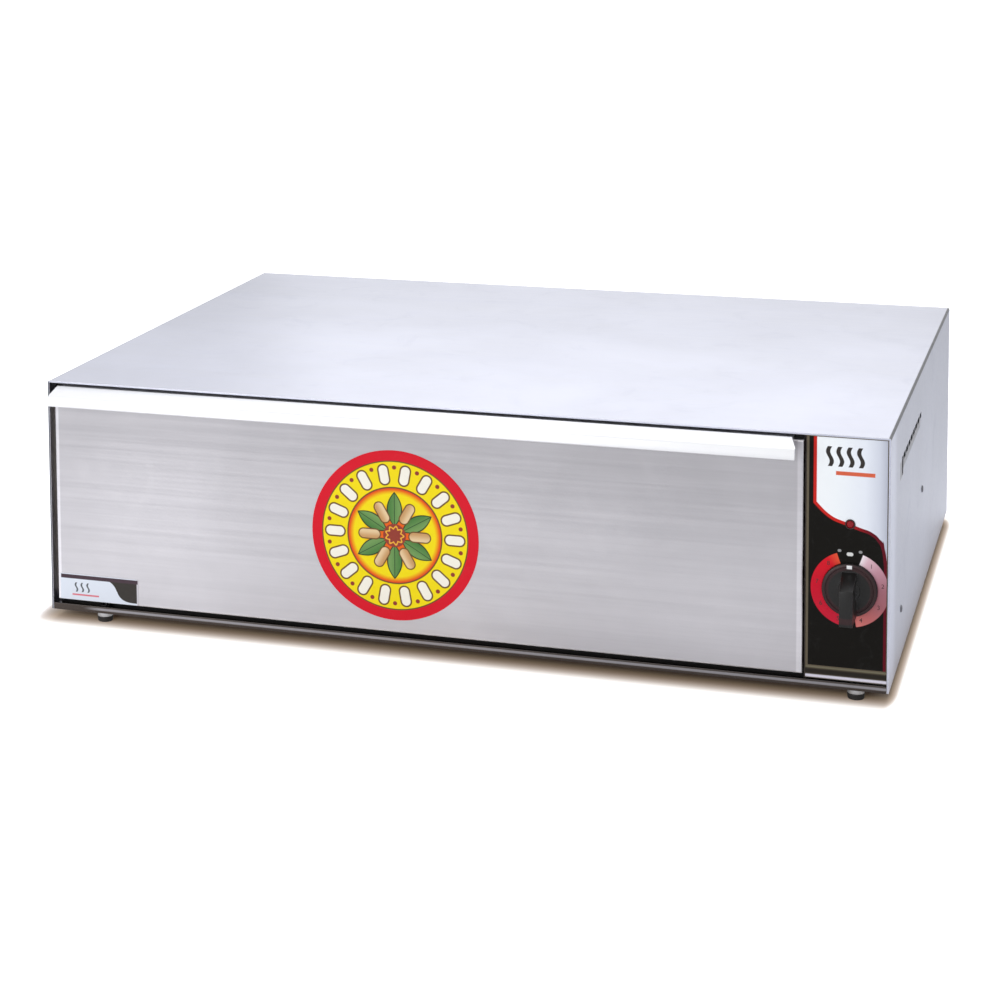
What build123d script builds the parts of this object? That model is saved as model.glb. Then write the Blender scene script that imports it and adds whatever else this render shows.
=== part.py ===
from build123d import *
import os

# A hot dog bun warmer: a low heated cabinet with one full-width drawer and a control panel on the right.
# Millimetres. +X is to the right seen from the front, +Y to the back and +Z up.
# The origin is under the middle of the whole, on the surface that the feet stand on.

# Cabinet
cabinet_width = 905.0
cabinet_depth = 700.0
cabinet_height = 257.0
foot_height = 12.0
skin = 1.0
liner_skin = 0.8
gap = 0.3
bend = 2.5
hem_depth = 10.0
rear_flange = 14.0
pan_flange = 25.0
rail_height = 7.0
wall_insulation = 11.0
floor_insulation = 16.0
roof_insulation = 11.8
divider_insulation = 12.0
back_insulation = 20.0
frame_setback = 20.3

# Drawer front, measured from the cabinet's left face, its bottom and top, and the divider
drawer_left = 8.0
drawer_divider_gap = 1.6
drawer_low = 12.0
drawer_top_gap = 6.0
drawer_front_depth = 18.0
front_corner = 1.5
gasket_inset = 1.0
gasket_width = 5.0
gasket_thick = 2.0
handle_inset = 5.0
handle_reach = 28.0
handle_drop = 4.0
handle_lip = 11.0
handle_lip_slant = 1.6
handle_sheet = 1.5
handle_bend = 3.0
handle_seat = 15.0

# Drawer pan, rack and water pan
pan_low = 42.0
pan_below_top = 52.0
pan_rear_room = 37.6
pan_hem = 5.0
pan_hem_setback = 12.0
drawer_screw_count = 4
rack_height = 24.0
rack_gap = 3.0
rack_front_room = 12.0
rack_columns = 12
rack_rows = 6
rack_slot_length = 44.0
rack_slot_width = 9.0
water_pan_side_room = 123.3
water_pan_depth = 110.0
water_pan_height = 40.0
water_pan_gap = 12.0
water_pan_corner = 14.0

# Drawer slides: outer member, middle member and inner member, with balls in cages between them
slide_start = 24.0
slide_rear_room = 51.6
slide_overlap = 40.0
slide_centre = 119.0
slide_width = 12.7
slide_height = 45.4
slide_sheet = 1.5
ball_radius = 2.25
ball_clearance = 0.1
outer_ball_offset = 6.2
inner_ball_offset = 8.4
cage_sheet = 0.7
cage_edge = 2.9
cage_margin = 5.0
cage_pocket_clearance = 0.1
cage_balls = 6
outer_flange = 10.4
middle_web = 3.2
middle_flange = 10.9
inner_flange_start = 6.2

# Divider and control panel
control_width = 82.8
divider_setback = 3.0
divider_flange = 10.0
panel_setback = 1.5
panel_low = 8.5
panel_flange = 130.0
panel_left_flange = 24.0
overlay_inset = 3.8
overlay_low = 22.0
overlay_thick = 0.4
overlay_edge = 0.8

# Thermostat and its knob
knob_from_right = 38.7
knob_z = 102.0
knob_reach = 36.0
skirt_radius = 27.0
skirt_thick = 4.0
skirt_round = 1.5
skirt_gap = 0.5
grip_width = 15.5
grip_top = 18.5
grip_nose = 7.0
grip_foot = 29.0
grip_chamfer = 2.0
hub_radius = 11.0
hub_height = 6.0
knob_bore_depth = 16.0
shaft_radius = 3.0
shaft_flat = 2.2
shaft_fit = 0.05
bush_radius = 5.0
bush_fit = 0.15
thermostat_width = 40.0
thermostat_height = 48.0
thermostat_depth = 34.0
shaft_pocket = 10.0
mark_width = 5.0
mark_height = 3.6
mark_gap = 1.0
mark_proud = 0.3

# Pilot light, straight above the knob
pilot_z = 168.0
pilot_bezel_radius = 5.6
pilot_bezel_thick = 1.2
pilot_barrel_radius = 4.6
pilot_barrel_length = 24.0
pilot_lens_radius = 3.8
pilot_lens_depth = 3.0
pilot_dome = 2.2
pilot_fit = 0.15

# Heater
element_radius = 4.0
element_lift = 10.0
element_front = 240.0
element_rear = 460.0
element_left = 120.0
element_bend = 60.0
element_pin_radius = 1.6
element_pin_length = 12.0
element_reach = 14.0
hole_fit = 0.3
clip_length = 14.0
clip_width = 16.0
clip_fit = 0.1
clip_wall = 2.0
guard_left = 90.0
guard_from_divider = 42.2
guard_margin = 24.0
guard_lift = 17.0
guard_sheet = 1.0
guard_slots = 10
guard_slot_length = 40.0
guard_slot_width = 8.0

# Sensing bulb, safety cut-out, terminals, wires and cord gland
bulb_radius = 3.0
bulb_length = 110.0
bulb_start = 330.0
bulb_stand_off = 8.0
bulb_from_top = 35.0
capillary_radius = 1.0
capillary_bend = 9.0
cutout_y = 400.0
cutout_from_top = 67.0
cutout_radius = 9.0
cutout_thick = 9.0
terminal_from_right = 39.0
terminal_from_back = 100.0
terminal_width = 44.0
terminal_depth = 22.0
terminal_height = 20.0
wire_radius = 1.3
wire_bend = 8.0
wire_spread = 14.0
wire_run = 60.0
wire_short_run = 40.0
pilot_wire_run = 50.0
gland_from_right = 39.0
gland_z = 60.0
gland_thread_radius = 7.8
gland_bore = 4.2
gland_hex = 20.0
gland_hex_thick = 5.0
gland_dome_radius = 8.8
gland_dome_length = 8.0
gland_inside = 12.0
locknut_hex = 20.0
locknut_thick = 4.0

# Side and rear openings and screws, measured from the front and from the cabinet's bottom
vent_start = 128.0
vent_end = 326.0
vent_from_top = 49.0
vent_height = 7.0
vent_count = 8
vent_bridge = 4.0
vent_leg_length = 20.5
vent_leg_width = 12.0
rear_vent_count = 7
rear_vent_pitch = 14.0
rear_vent_length = 60.0
rear_vent_width = 5.0
rear_vent_from_right = 65.0
rear_vent_from_top = 23.0
rear_side_screw_y = 343.5
front_side_screw_y = 115.5
front_side_screw_z = 51.8
screw_head_radius = 4.0
screw_head_thick = 1.6
screw_head_round = 1.0
screw_radius = 2.0
screw_fit = 0.15
screw_length = 8.0
baffle_offset = 9.0
baffle_foot = 11.0
baffle_step = 13.0
baffle_from_top = 31.0
baffle_margin = 16.0

# Feet
foot_left = 58.0
foot_right = 33.0
foot_front = 14.0
foot_rear = 30.0
foot_radius = 8.8
foot_base_radius = 8.2
foot_pad = 6.0
foot_hole = 3.5
collar_radius = 8.3
stud_radius = 3.0
nut_flats = 10.0
nut_thick = 5.0
nut_room = 8.0

# Graphics on the drawer front
decal_offset = -16.9
decal_z = 116.7
decal_radius = 91.2
label_left = 11.0
label_right = 104.0
label_low = 12.8
label_high = 41.5
label_corner = 1.0
film = 0.3

# Places worked out from the sizes above
gland_reach = gland_hex_thick + gland_dome_length
overall_depth = knob_reach + cabinet_depth + gland_reach
left = -cabinet_width / 2
right = cabinet_width / 2
front = knob_reach - overall_depth / 2
back = front + cabinet_depth
base = foot_height
top = base + cabinet_height
wrapper_back = back - skin
floor_top = base + skin
pan_side = left + 2 * skin + gap
pan_side_right = right - 2 * skin - gap
insulation_left = pan_side + skin + gap
liner_left = insulation_left + wall_insulation
cavity_left = liner_left + liner_skin
divider_x = right - control_width
liner_right = divider_x - divider_insulation
cavity_right = liner_right - liner_skin
cavity_low = floor_top + floor_insulation + liner_skin
liner_top = top - skin - roof_insulation
cavity_high = liner_top - liner_skin
frame_front = front + frame_setback
frame_back = frame_front + skin
pan_rear_flange = wrapper_back - skin - gap
insulation_back = pan_rear_flange - skin - gap
liner_back = insulation_back - back_insulation
cavity_back = liner_back - liner_skin
panel_front = front + panel_setback
panel_back = panel_front + skin
overlay_front = panel_front - overlay_thick
compartment_left = divider_x + skin
knob_at = (right - knob_from_right, base + knob_z)
pilot_at = (right - knob_from_right, base + pilot_z)
front_x0, front_x1 = left + drawer_left, divider_x - drawer_divider_gap
front_z0, front_z1 = base + drawer_low, top - drawer_top_gap
front_top = front_z1 - handle_sheet
front_plate_back = front + drawer_front_depth
rail_y0 = front + slide_start
rail_y1 = cavity_back - slide_rear_room
drawer_travel = rail_y1 - rail_y0 - slide_overlap
slide_z = base + slide_centre
pan_x0, pan_x1 = cavity_left + slide_width, cavity_right - slide_width
pan_z0, pan_z1 = base + pan_low, top - pan_below_top
pan_y0, pan_y1 = front_plate_back, cavity_back - pan_rear_room
water_pan_front = pan_y1 - skin - water_pan_gap - water_pan_depth
element_z = cavity_low + element_lift
element_ends = [front + element_front, front + element_rear]
bulb_x = cavity_right - bulb_radius - bulb_stand_off
bulb_z = top - bulb_from_top
cutout_z = top - cutout_from_top
capillary_y = front + bulb_start - 2 * capillary_bend
terminal_y = back - terminal_from_back
vent_z = top - vent_from_top
screw_spots = [(rear_side_screw_y, slide_centre), (front_side_screw_y, front_side_screw_z)]
foot_spots = [(x, y) for x in (left + foot_left, right - foot_right)
              for y in (front + foot_front, back - foot_rear)]


def block(x0, x1, y0, y1, z0, z1):
    return Pos((x0 + x1) / 2, (y0 + y1) / 2, (z0 + z1) / 2) * Box(x1 - x0, y1 - y0, z1 - z0)


def rod_x(y, z, x0, x1, radius):
    return Pos((x0 + x1) / 2, y, z) * Rot(0, 90, 0) * Cylinder(radius, x1 - x0)


def rod_y(x, z, y0, y1, radius):
    return Pos(x, (y0 + y1) / 2, z) * Rot(90, 0, 0) * Cylinder(radius, y1 - y0)


def rod_z(x, y, z0, z1, radius):
    return Pos(x, y, (z0 + z1) / 2) * Cylinder(radius, z1 - z0)


def hexagon_y(x, z, y0, y1, flats):
    plane = Plane(origin=(x, y0, z), x_dir=(1, 0, 0), z_dir=(0, 1, 0))
    return extrude(plane * RegularPolygon(flats / 2, 6, major_radius=False), y1 - y0)


def hexagon_z(x, y, z0, z1, flats):
    return extrude(Pos(x, y, z0) * RegularPolygon(flats / 2, 6, major_radius=False), z1 - z0)


def sheet_along_x(points, thickness, radius, x0, x1):
    # A sheet folded along a line of (y, z) points through the middle of its thickness
    path = FilletPolyline(*[(y, z) for y, z in points], radius=radius)
    section = trace(path, thickness)
    plane = Plane(origin=(x0, 0, 0), x_dir=(0, 1, 0), z_dir=(1, 0, 0))
    return extrude(plane * section, x1 - x0)


def ring_y(x0, x1, z0, z1, width, y0, y1):
    outer = block(x0, x1, y0, y1, z0, z1)
    return outer - block(x0 + width, x1 - width, y0 - 1, y1 + 1, z0 + width, z1 - width)


def tube(points, bend_radius, radius):
    # A round wire or tube along straight runs joined by arcs
    path = FilletPolyline(*points, radius=bend_radius)
    start = Plane(origin=path @ 0, z_dir=path % 0)
    return sweep(start * Circle(radius), path=path)


def edges_along(shape, axis, keep):
    return [e for e in shape.edges().filter_by(axis) if keep(e.center())]


# Cabinet shell

def outer_wrapper():
    outer = block(left, right, front, wrapper_back, base, top)
    outer = fillet(edges_along(outer, Axis.Y, lambda c: c.Z > top - 1), bend)
    inner = block(left + skin, right - skin, front - 1, wrapper_back + 1, base - 1, top - skin)
    inner = fillet(edges_along(inner, Axis.Y, lambda c: c.Z > base), bend - skin)
    shell = outer - inner
    hem = block(left + skin, right - skin, front, front + hem_depth, base, top - skin)
    hem -= block(left + 2 * skin, right - 2 * skin, front - 1, front + hem_depth + 1,
                 base - 1, top - 2 * skin)
    lip = block(left + skin, right - skin, wrapper_back - skin, wrapper_back, base, top - skin)
    lip -= block(left + skin + rear_flange, right - skin - rear_flange, wrapper_back - 2 * skin,
                 wrapper_back + 1, base - 1, top - skin - rear_flange)
    shell = shell + hem + lip
    pitch = (vent_end - vent_start + vent_bridge) / vent_count
    for i in range(vent_count):
        y0 = front + vent_start + i * pitch
        z0 = vent_z - vent_height / 2
        shell -= block(right - 2 * skin, right + 1, y0, y0 + pitch - vent_bridge, z0, z0 + vent_height)
    leg_y = front + vent_start - vent_bridge - vent_leg_width
    leg_top = vent_z + vent_height / 2
    shell -= block(right - 2 * skin, right + 1, leg_y, leg_y + vent_leg_width,
                   leg_top - vent_leg_length, leg_top)
    for y, z in screw_spots:
        shell -= rod_x(front + y, base + z, left - 1, left + 2 * skin, screw_radius + screw_fit)
        shell -= rod_x(front + y, base + z, right - 2 * skin, right + 1, screw_radius + screw_fit)
    for x, z in rear_screw_spots():
        shell -= rod_y(x, z, wrapper_back - 2 * skin, wrapper_back + 1, screw_radius + screw_fit)
    return shell


def rear_screw_spots():
    # Through the rear lips at the sides and top, and into the base pan's rear flange at the bottom
    side = skin + rear_flange / 2
    high = top - skin - rear_flange / 2
    low = base + pan_flange / 2
    spots = [(left + side, z) for z in (base + cabinet_height / 2, high)]
    spots += [(right - side, z) for z in (base + cabinet_height / 2, high)]
    spots += [(x, z) for x in (-cabinet_width / 4, cabinet_width / 4) for z in (high, low)]
    return spots


def back_panel():
    edge = skin + gap
    panel = block(left + edge, right - edge, wrapper_back, back, base + edge, top - edge)
    for i in range(rear_vent_count):
        z = top - rear_vent_from_top - i * rear_vent_pitch
        x = right - rear_vent_from_right
        slot = Plane(origin=(x, wrapper_back - 1, z), x_dir=(1, 0, 0), z_dir=(0, 1, 0))
        panel -= extrude(slot * SlotOverall(rear_vent_length, rear_vent_width), 2 * skin + 1)
    for x, z in rear_screw_spots():
        panel -= rod_y(x, z, wrapper_back - 1, back + 1, screw_radius + screw_fit)
    gland_hole = gland_thread_radius + screw_fit
    return panel - rod_y(right - gland_from_right, base + gland_z, wrapper_back - 1, back + 1, gland_hole)


def base_pan():
    rear = pan_rear_flange
    pan = block(pan_side, pan_side_right, front, rear, base, floor_top)
    rail_top = base + rail_height
    rail = block(pan_side, pan_side_right, front, front + skin, base, rail_top)
    rail += block(pan_side, pan_side_right, front, front + 2 * skin, rail_top - skin, rail_top)
    flange_top = base + pan_flange
    flange_front = frame_back + gap
    right_front = front + panel_flange + 2
    left_flange = block(pan_side, pan_side + skin, flange_front, rear, base, flange_top)
    right_flange = block(pan_side_right - skin, pan_side_right, right_front, rear, base, flange_top)
    rear_wall = block(pan_side, pan_side_right, rear - skin, rear, base, flange_top)
    pan = pan + rail + left_flange + right_flange + rear_wall
    for x, y in foot_spots:
        pan -= rod_z(x, y, base - 1, floor_top + 1, stud_radius + screw_fit)
    for x, z in rear_screw_spots():
        if z < base + pan_flange:
            pan -= rod_y(x, z, rear - 2 * skin, rear + 1, screw_radius + screw_fit)
    return pan


def face_frame():
    edge = 2 * gap
    x0, x1 = left + skin + edge, divider_x - gap
    frame = block(x0, x1, frame_front, frame_back, floor_top + gap, top - skin - edge)
    frame -= block(cavity_left, cavity_right, frame_front - 1, frame_back + 1, cavity_low, cavity_high)
    return frame


def divider_panel():
    y0, y1 = front + divider_setback, insulation_back
    panel = block(divider_x, compartment_left, y0, y1, floor_top, top - skin)
    flange_x = compartment_left + divider_flange
    flange_y = panel_back + gap + panel_left_flange
    panel += block(divider_x, flange_x, flange_y, y1, floor_top, floor_top + skin)
    panel += block(divider_x, flange_x, flange_y, y1, top - 2 * skin, top - skin)
    hem_room = top - 2 * skin - gap
    panel -= block(divider_x - 1, compartment_left + 1, front, front + hem_depth + gap, hem_room, top)
    for y in element_ends:
        panel -= rod_x(y, element_z, divider_x - 1, compartment_left + 1, element_radius + hole_fit)
    tube_hole = capillary_radius + hole_fit
    return panel - rod_x(capillary_y, bulb_z, divider_x - 1, compartment_left + 1, tube_hole)


# Heated cavity

def cavity_liner():
    y0, y1 = frame_back, cavity_back
    outer = block(liner_left, liner_right, y0, y1, cavity_low - liner_skin, liner_top)
    inner = block(cavity_left, cavity_right, y0 - 1, y1 + 1, cavity_low - liner_skin - 1, cavity_high)
    liner = outer - inner
    for y in element_ends:
        liner -= rod_x(y, element_z, cavity_right - 1, liner_right + 1, element_radius + hole_fit)
    liner -= rod_x(capillary_y, bulb_z, cavity_right - 1, liner_right + 1, capillary_radius + hole_fit)
    for y, z in screw_spots:
        liner -= rod_x(front + y, base + z, liner_left - 1, cavity_left + 1, screw_radius + screw_fit)
    return liner


def liner_back_wall():
    return block(liner_left, liner_right, cavity_back, liner_back, cavity_low - liner_skin, liner_top)


def liner_floor():
    return block(cavity_left, cavity_right, frame_back, cavity_back, cavity_low - liner_skin, cavity_low)


def insulation_top():
    return block(liner_left, liner_right, frame_back, liner_back, liner_top, top - skin)


def insulation_sides():
    z0, z1 = cavity_low - liner_skin, top - skin
    near = block(insulation_left, liner_left, frame_back, liner_back, z0, z1)
    for y, z in screw_spots:
        near -= rod_x(front + y, base + z, insulation_left - 1, liner_left + 1, screw_radius + screw_fit)
    far = block(liner_right, divider_x, frame_back, liner_back, z0, z1)
    for y in element_ends:
        far -= rod_x(y, element_z, liner_right - 1, divider_x + 1, element_radius + hole_fit)
    far -= rod_x(capillary_y, bulb_z, liner_right - 1, divider_x + 1, capillary_radius + hole_fit)
    return Compound(children=[near, far])


def insulation_rear():
    return block(insulation_left, divider_x, liner_back, insulation_back, floor_top, top - skin)


def insulation_floor():
    z1 = cavity_low - liner_skin
    mat = block(insulation_left, divider_x, frame_back, liner_back, floor_top, z1)
    for x, y in foot_spots:
        if x < divider_x:
            mat -= rod_z(x, y, base, z1 + 1, nut_room)
    return mat


# Heater

def heating_element():
    end_x = compartment_left + element_reach
    turn_x = left + element_left
    y0, y1 = element_ends
    points = [(end_x, y0), (turn_x, y0), (turn_x, y1), (end_x, y1)]
    body = tube([(x, y, element_z) for x, y in points], element_bend, element_radius)
    for y in element_ends:
        body += rod_x(y, element_z, end_x - 1, end_x + element_pin_length, element_pin_radius)
    return body


def clip_spots():
    near = left + element_left + element_bend + clip_length
    far = cavity_right - 4 * clip_length
    return [(x, y) for x in (near, (near + far) / 2, far) for y in element_ends]


def element_clips():
    clips = []
    for x, y in clip_spots():
        clip = block(x - clip_length / 2, x + clip_length / 2, y - clip_width / 2, y + clip_width / 2,
                     cavity_low, element_z)
        clips.append(clip - rod_x(y, element_z, x - clip_length, x + clip_length, element_radius + clip_fit))
    return Compound(children=clips)


def element_guard():
    x0, x1 = left + guard_left, divider_x - guard_from_divider
    y0, y1 = element_ends[0] - guard_margin, element_ends[1] + guard_margin
    z1 = cavity_low + guard_lift
    guard = block(x0, x1, y0, y1, cavity_low, z1)
    guard -= block(x0 - 1, x1 + 1, y0 + guard_sheet, y1 - guard_sheet, cavity_low - 1, z1 - guard_sheet)
    pitch = (x1 - x0) / guard_slots
    slot = SlotOverall(guard_slot_length, guard_slot_width)
    for i in range(guard_slots):
        for y in (element_ends[0], (y0 + y1) / 2, element_ends[1]):
            at = Pos(x0 + (i + 0.5) * pitch, y, z1 - 2 * guard_sheet)
            guard -= extrude(at * slot, 3 * guard_sheet)
    return guard


# Control panel

def control_panel_plate():
    x0, x1 = compartment_left + gap, pan_side_right
    z0, z1 = base + panel_low, top - 2 * skin - gap
    plate = block(x0, x1, panel_front, panel_back, z0, z1)
    plate += block(x1 - skin, x1, panel_front, front + panel_flange, z0, z1)
    plate += block(x0, x0 + skin, panel_front, panel_back + panel_left_flange, z0, z1)
    plate -= rod_y(*knob_at, panel_front - 1, panel_back + 1, bush_radius + bush_fit)
    plate -= rod_y(*pilot_at, panel_front - 1, panel_back + 1, pilot_barrel_radius + pilot_fit)
    y, z = screw_spots[1]
    plate -= rod_x(front + y, base + z, x1 - 2 * skin, x1 + 1, screw_radius + screw_fit)
    return plate


def control_overlay():
    x0, x1 = divider_x + overlay_inset, pan_side_right - overlay_edge
    z0, z1 = base + overlay_low, top - 2 * skin - gap - overlay_edge
    film_sheet = block(x0, x1, overlay_front, panel_front, z0, z1)
    film_sheet -= rod_y(*knob_at, overlay_front - 1, panel_front + 1, bush_radius + bush_fit)
    film_sheet -= rod_y(*pilot_at, overlay_front - 1, panel_front + 1, pilot_barrel_radius + pilot_fit)
    return film_sheet


def pilot_light_housing():
    face = overlay_front - pilot_bezel_thick
    housing = rod_y(*pilot_at, face, overlay_front, pilot_bezel_radius)
    housing += rod_y(*pilot_at, face, panel_back + pilot_barrel_length, pilot_barrel_radius)
    nut = panel_back + gap
    housing += hexagon_y(*pilot_at, nut, nut + 3, 2 * pilot_barrel_radius + 4)
    return housing - rod_y(*pilot_at, face - 1, face + pilot_lens_depth, pilot_lens_radius + screw_fit)


def pilot_light_lens():
    face = overlay_front - pilot_bezel_thick
    lens = rod_y(*pilot_at, face - pilot_dome, face + pilot_lens_depth, pilot_lens_radius)
    return fillet(edges_facing(lens, face - pilot_dome), pilot_dome)


def edges_facing(shape, y):
    return [e for e in shape.edges() if abs(e.center().Y - y) < 0.01]


def thermostat_body():
    x, z = knob_at
    y0 = panel_back + gap
    half_w, half_h = thermostat_width / 2, thermostat_height / 2
    body = block(x - half_w, x + half_w, y0, y0 + thermostat_depth, z - half_h, z + half_h)
    body = fillet(body.edges().filter_by(Axis.Y), 3)
    body += rod_y(x, z, overlay_front, y0 + 1, bush_radius)
    return body - rod_y(x, z, overlay_front - 1, y0 + shaft_pocket, shaft_radius + shaft_fit)


def thermostat_capillary():
    y1 = front + bulb_start
    z = bulb_z
    entry_y = panel_back + gap + thermostat_depth
    entry_x = knob_at[0] - thermostat_width / 4
    entry_z = knob_at[1] + thermostat_height / 4
    run_x = compartment_left + 3 * capillary_bend
    bulb = rod_y(bulb_x, z, y1, y1 + bulb_length, bulb_radius)
    points = [
        (bulb_x, y1 + 1, z),
        (bulb_x, capillary_y, z),
        (run_x, capillary_y, z),
        (run_x, entry_y + 3 * capillary_bend, z),
        (entry_x, entry_y + 3 * capillary_bend, entry_z),
        (entry_x, entry_y, entry_z),
    ]
    return tube(points, capillary_bend, capillary_radius) + bulb


def bulb_clips():
    # Saddles that hold the sensing bulb off the cavity's right wall
    z = bulb_z
    clips = []
    for share in (0.25, 0.75):
        y = front + bulb_start + share * bulb_length
        half = bulb_radius + clip_wall
        clip = block(bulb_x, cavity_right, y - clip_length / 2, y + clip_length / 2, z - half, z + half)
        clips.append(clip - rod_y(bulb_x, z, y - clip_length, y + clip_length, bulb_radius + clip_fit))
    return Compound(children=clips)


def hi_limit_switch():
    y, z = front + cutout_y, cutout_z
    x0 = compartment_left
    switch = rod_x(y, z, x0, x0 + cutout_thick, cutout_radius)
    switch += block(x0, x0 + 1, y - 16, y + 16, z - 4, z + 4)
    for side in (-1, 1):
        tab_y = y + side * 4
        switch += block(x0 + cutout_thick - 1, x0 + cutout_thick + 8, tab_y - 0.4, tab_y + 0.4, z - 3, z + 3)
    return switch


def terminal_block():
    x, y = right - terminal_from_right, terminal_y
    body = block(x - terminal_width / 2, x + terminal_width / 2, y, y + terminal_depth,
                 floor_top, floor_top + terminal_height)
    pitch = terminal_width / 3
    for i in (-1, 0, 1):
        cx, cy = x + i * pitch, y + terminal_depth / 2
        body -= rod_z(cx, cy, floor_top + terminal_height - 6, floor_top + terminal_height + 1, 3.5)
    for i in (-0.5, 0.5):
        cx = x + i * pitch
        body -= block(cx - 0.8, cx + 0.8, y - 1, y + terminal_depth + 1,
                      floor_top + terminal_height - 5, floor_top + terminal_height + 1)
    return body


def wiring_harness():
    rear = panel_back + gap + thermostat_depth
    tx, tz = knob_at
    pin_x = compartment_left + element_reach + element_pin_length
    low = floor_top + terminal_height / 3
    entry = tz - thermostat_height / 4
    high = cutout_z + wire_spread
    pilot_rear = panel_back + pilot_barrel_length
    line_x, lamp_x = tx - wire_spread, tx + wire_spread
    wires = [
        [(line_x, terminal_y, low), (line_x, rear + wire_run, low),
         (line_x, rear + wire_run, entry), (line_x, rear, entry)],
        [(lamp_x, terminal_y, low), (lamp_x, terminal_y - wire_run, low),
         (lamp_x, terminal_y - wire_run, high), (lamp_x, rear + wire_short_run, high),
         (lamp_x, rear + wire_short_run, entry), (lamp_x, rear, entry)],
        [(tx, pilot_rear, pilot_at[1]), (tx, pilot_rear + pilot_wire_run, pilot_at[1]),
         (tx, pilot_rear + pilot_wire_run, 2 * tz - entry), (tx, rear, 2 * tz - entry)],
    ]
    for i, y in enumerate(element_ends):
        x = pin_x + wire_spread + i * wire_bend
        z = entry - wire_bend + i * wire_bend
        wires.append([(pin_x, y, element_z), (x, y, element_z), (x, y, z), (x, rear, z)])
    return Compound(children=[tube(points, wire_bend, wire_radius) for points in wires])


def cord_gland():
    x, z = right - gland_from_right, base + gland_z
    hexed = hexagon_y(x, z, back, back + gland_hex_thick, gland_hex)
    dome = rod_y(x, z, back + gland_hex_thick - 1, back + gland_reach, gland_dome_radius)
    dome = fillet(edges_facing(dome, back + gland_reach), 2.5)
    thread = rod_y(x, z, wrapper_back - gland_inside, back + 1, gland_thread_radius)
    body = hexed + dome + thread
    return body - rod_y(x, z, wrapper_back - gland_inside - 1, back + gland_reach + 1, gland_bore)


def cord_gland_locknut():
    x, z = right - gland_from_right, base + gland_z
    y0 = wrapper_back - locknut_thick
    nut = hexagon_y(x, z, y0, wrapper_back, locknut_hex)
    return nut - rod_y(x, z, y0 - 1, wrapper_back + 1, gland_thread_radius + screw_fit)


def side_vent_baffle():
    x1 = right - skin
    x0 = x1 - baffle_offset
    y0, y1 = front + vent_start - baffle_margin, front + screw_spots[0][0] + baffle_margin
    y0 = max(y0, front + panel_flange + 2)
    y, z = screw_spots[0]
    low, step = base + z - baffle_foot, base + z + baffle_step
    sheet = block(x1 - skin, x1, y0, y1, low, step)
    sheet += block(x0, x1, y0, y1, step - skin, step)
    sheet += block(x0, x0 + skin, y0, y1, step - skin, top - baffle_from_top)
    return sheet - rod_x(front + y, base + z, x0 - 1, x1 + 1, screw_radius + screw_fit)


# Fasteners

def pan_screw_x(y, z, face, outward, length):
    # Head on the face, shank inwards
    crown = face + outward * screw_head_thick
    head = rod_x(y, z, min(face, crown), max(face, crown), screw_head_radius)
    head = fillet([e for e in head.edges() if abs(e.center().X - crown) < 0.01], screw_head_round)
    inner = face - outward * length
    return head + rod_x(y, z, min(face, inner), max(face, inner), screw_radius)


def side_screws():
    screws = []
    for y, z in screw_spots:
        screws.append(pan_screw_x(front + y, base + z, left, -1, cavity_left - left))
        screws.append(pan_screw_x(front + y, base + z, right, 1, screw_length))
    return Compound(children=screws)


def back_screws():
    screws = []
    for x, z in rear_screw_spots():
        head = rod_y(x, z, back, back + screw_head_thick, screw_head_radius)
        head = fillet(edges_facing(head, back + screw_head_thick), screw_head_round)
        depth = 2 * skin + gap if z > base + pan_flange else 3 * skin + gap
        screws.append(head + rod_y(x, z, back - depth, back, screw_radius))
    return Compound(children=screws)


# Feet

def foot(x, y):
    body = Cone(foot_base_radius, foot_radius, foot_pad)
    body = Pos(x, y, foot_pad / 2) * body
    body = fillet([e for e in body.edges() if e.center().Z < 0.01], 1)
    return body - rod_z(x, y, foot_pad - foot_hole, foot_pad + 1, stud_radius + gap)


def rubber_feet():
    return Compound(children=[foot(x, y) for x, y in foot_spots])


def foot_studs():
    studs = []
    for x, y in foot_spots:
        stud = rod_z(x, y, foot_pad - foot_hole + gap, floor_top + nut_thick + 2, stud_radius)
        stud += rod_z(x, y, foot_pad, base, collar_radius)
        studs.append(stud)
    return Compound(children=studs)


def foot_nuts():
    nuts = []
    for x, y in foot_spots:
        nut = hexagon_z(x, y, floor_top, floor_top + nut_thick, nut_flats)
        nuts.append(nut - rod_z(x, y, floor_top - 1, floor_top + nut_thick + 1, stud_radius + screw_fit))
    return Compound(children=nuts)


# Drawer slides, drawn for the left wall as distances from it and mirrored for the right

def slide_block(side, u0, u1, y0, y1, z0, z1):
    if side == "left":
        return block(cavity_left + u0, cavity_left + u1, y0, y1, slide_z + z0, slide_z + z1)
    return block(cavity_right - u1, cavity_right - u0, y0, y1, slide_z + z0, slide_z + z1)


outer_inside = slide_height / 2 - slide_sheet
outer_ball_z = outer_inside - ball_clearance - ball_radius
middle_outside = outer_ball_z - ball_radius - ball_clearance
middle_inside = middle_outside - slide_sheet
inner_ball_z = middle_inside - ball_clearance - ball_radius
inner_outside = inner_ball_z - ball_radius - ball_clearance


def channel(side, web0, web1, flange0, flange1, outside, thickness, y0, y1):
    # A web with a flange at its top and bottom
    shape = slide_block(side, web0, web1, y0, y1, -outside, outside)
    for sign in (-1, 1):
        z0, z1 = sorted((sign * outside, sign * (outside - thickness)))
        shape += slide_block(side, flange0, flange1, y0, y1, z0, z1)
    return shape


def slide_outer(side):
    return channel(side, 0, slide_sheet, 0, outer_flange, slide_height / 2, slide_sheet, rail_y0, rail_y1)


def slide_middle(side):
    return channel(side, middle_web, middle_web + slide_sheet, middle_web, middle_flange, middle_outside,
                   slide_sheet, rail_y0, rail_y1)


def slide_inner(side):
    return channel(side, slide_width - slide_sheet, slide_width, inner_flange_start, slide_width,
                   inner_outside, slide_sheet, rail_y0, rail_y1)


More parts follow.
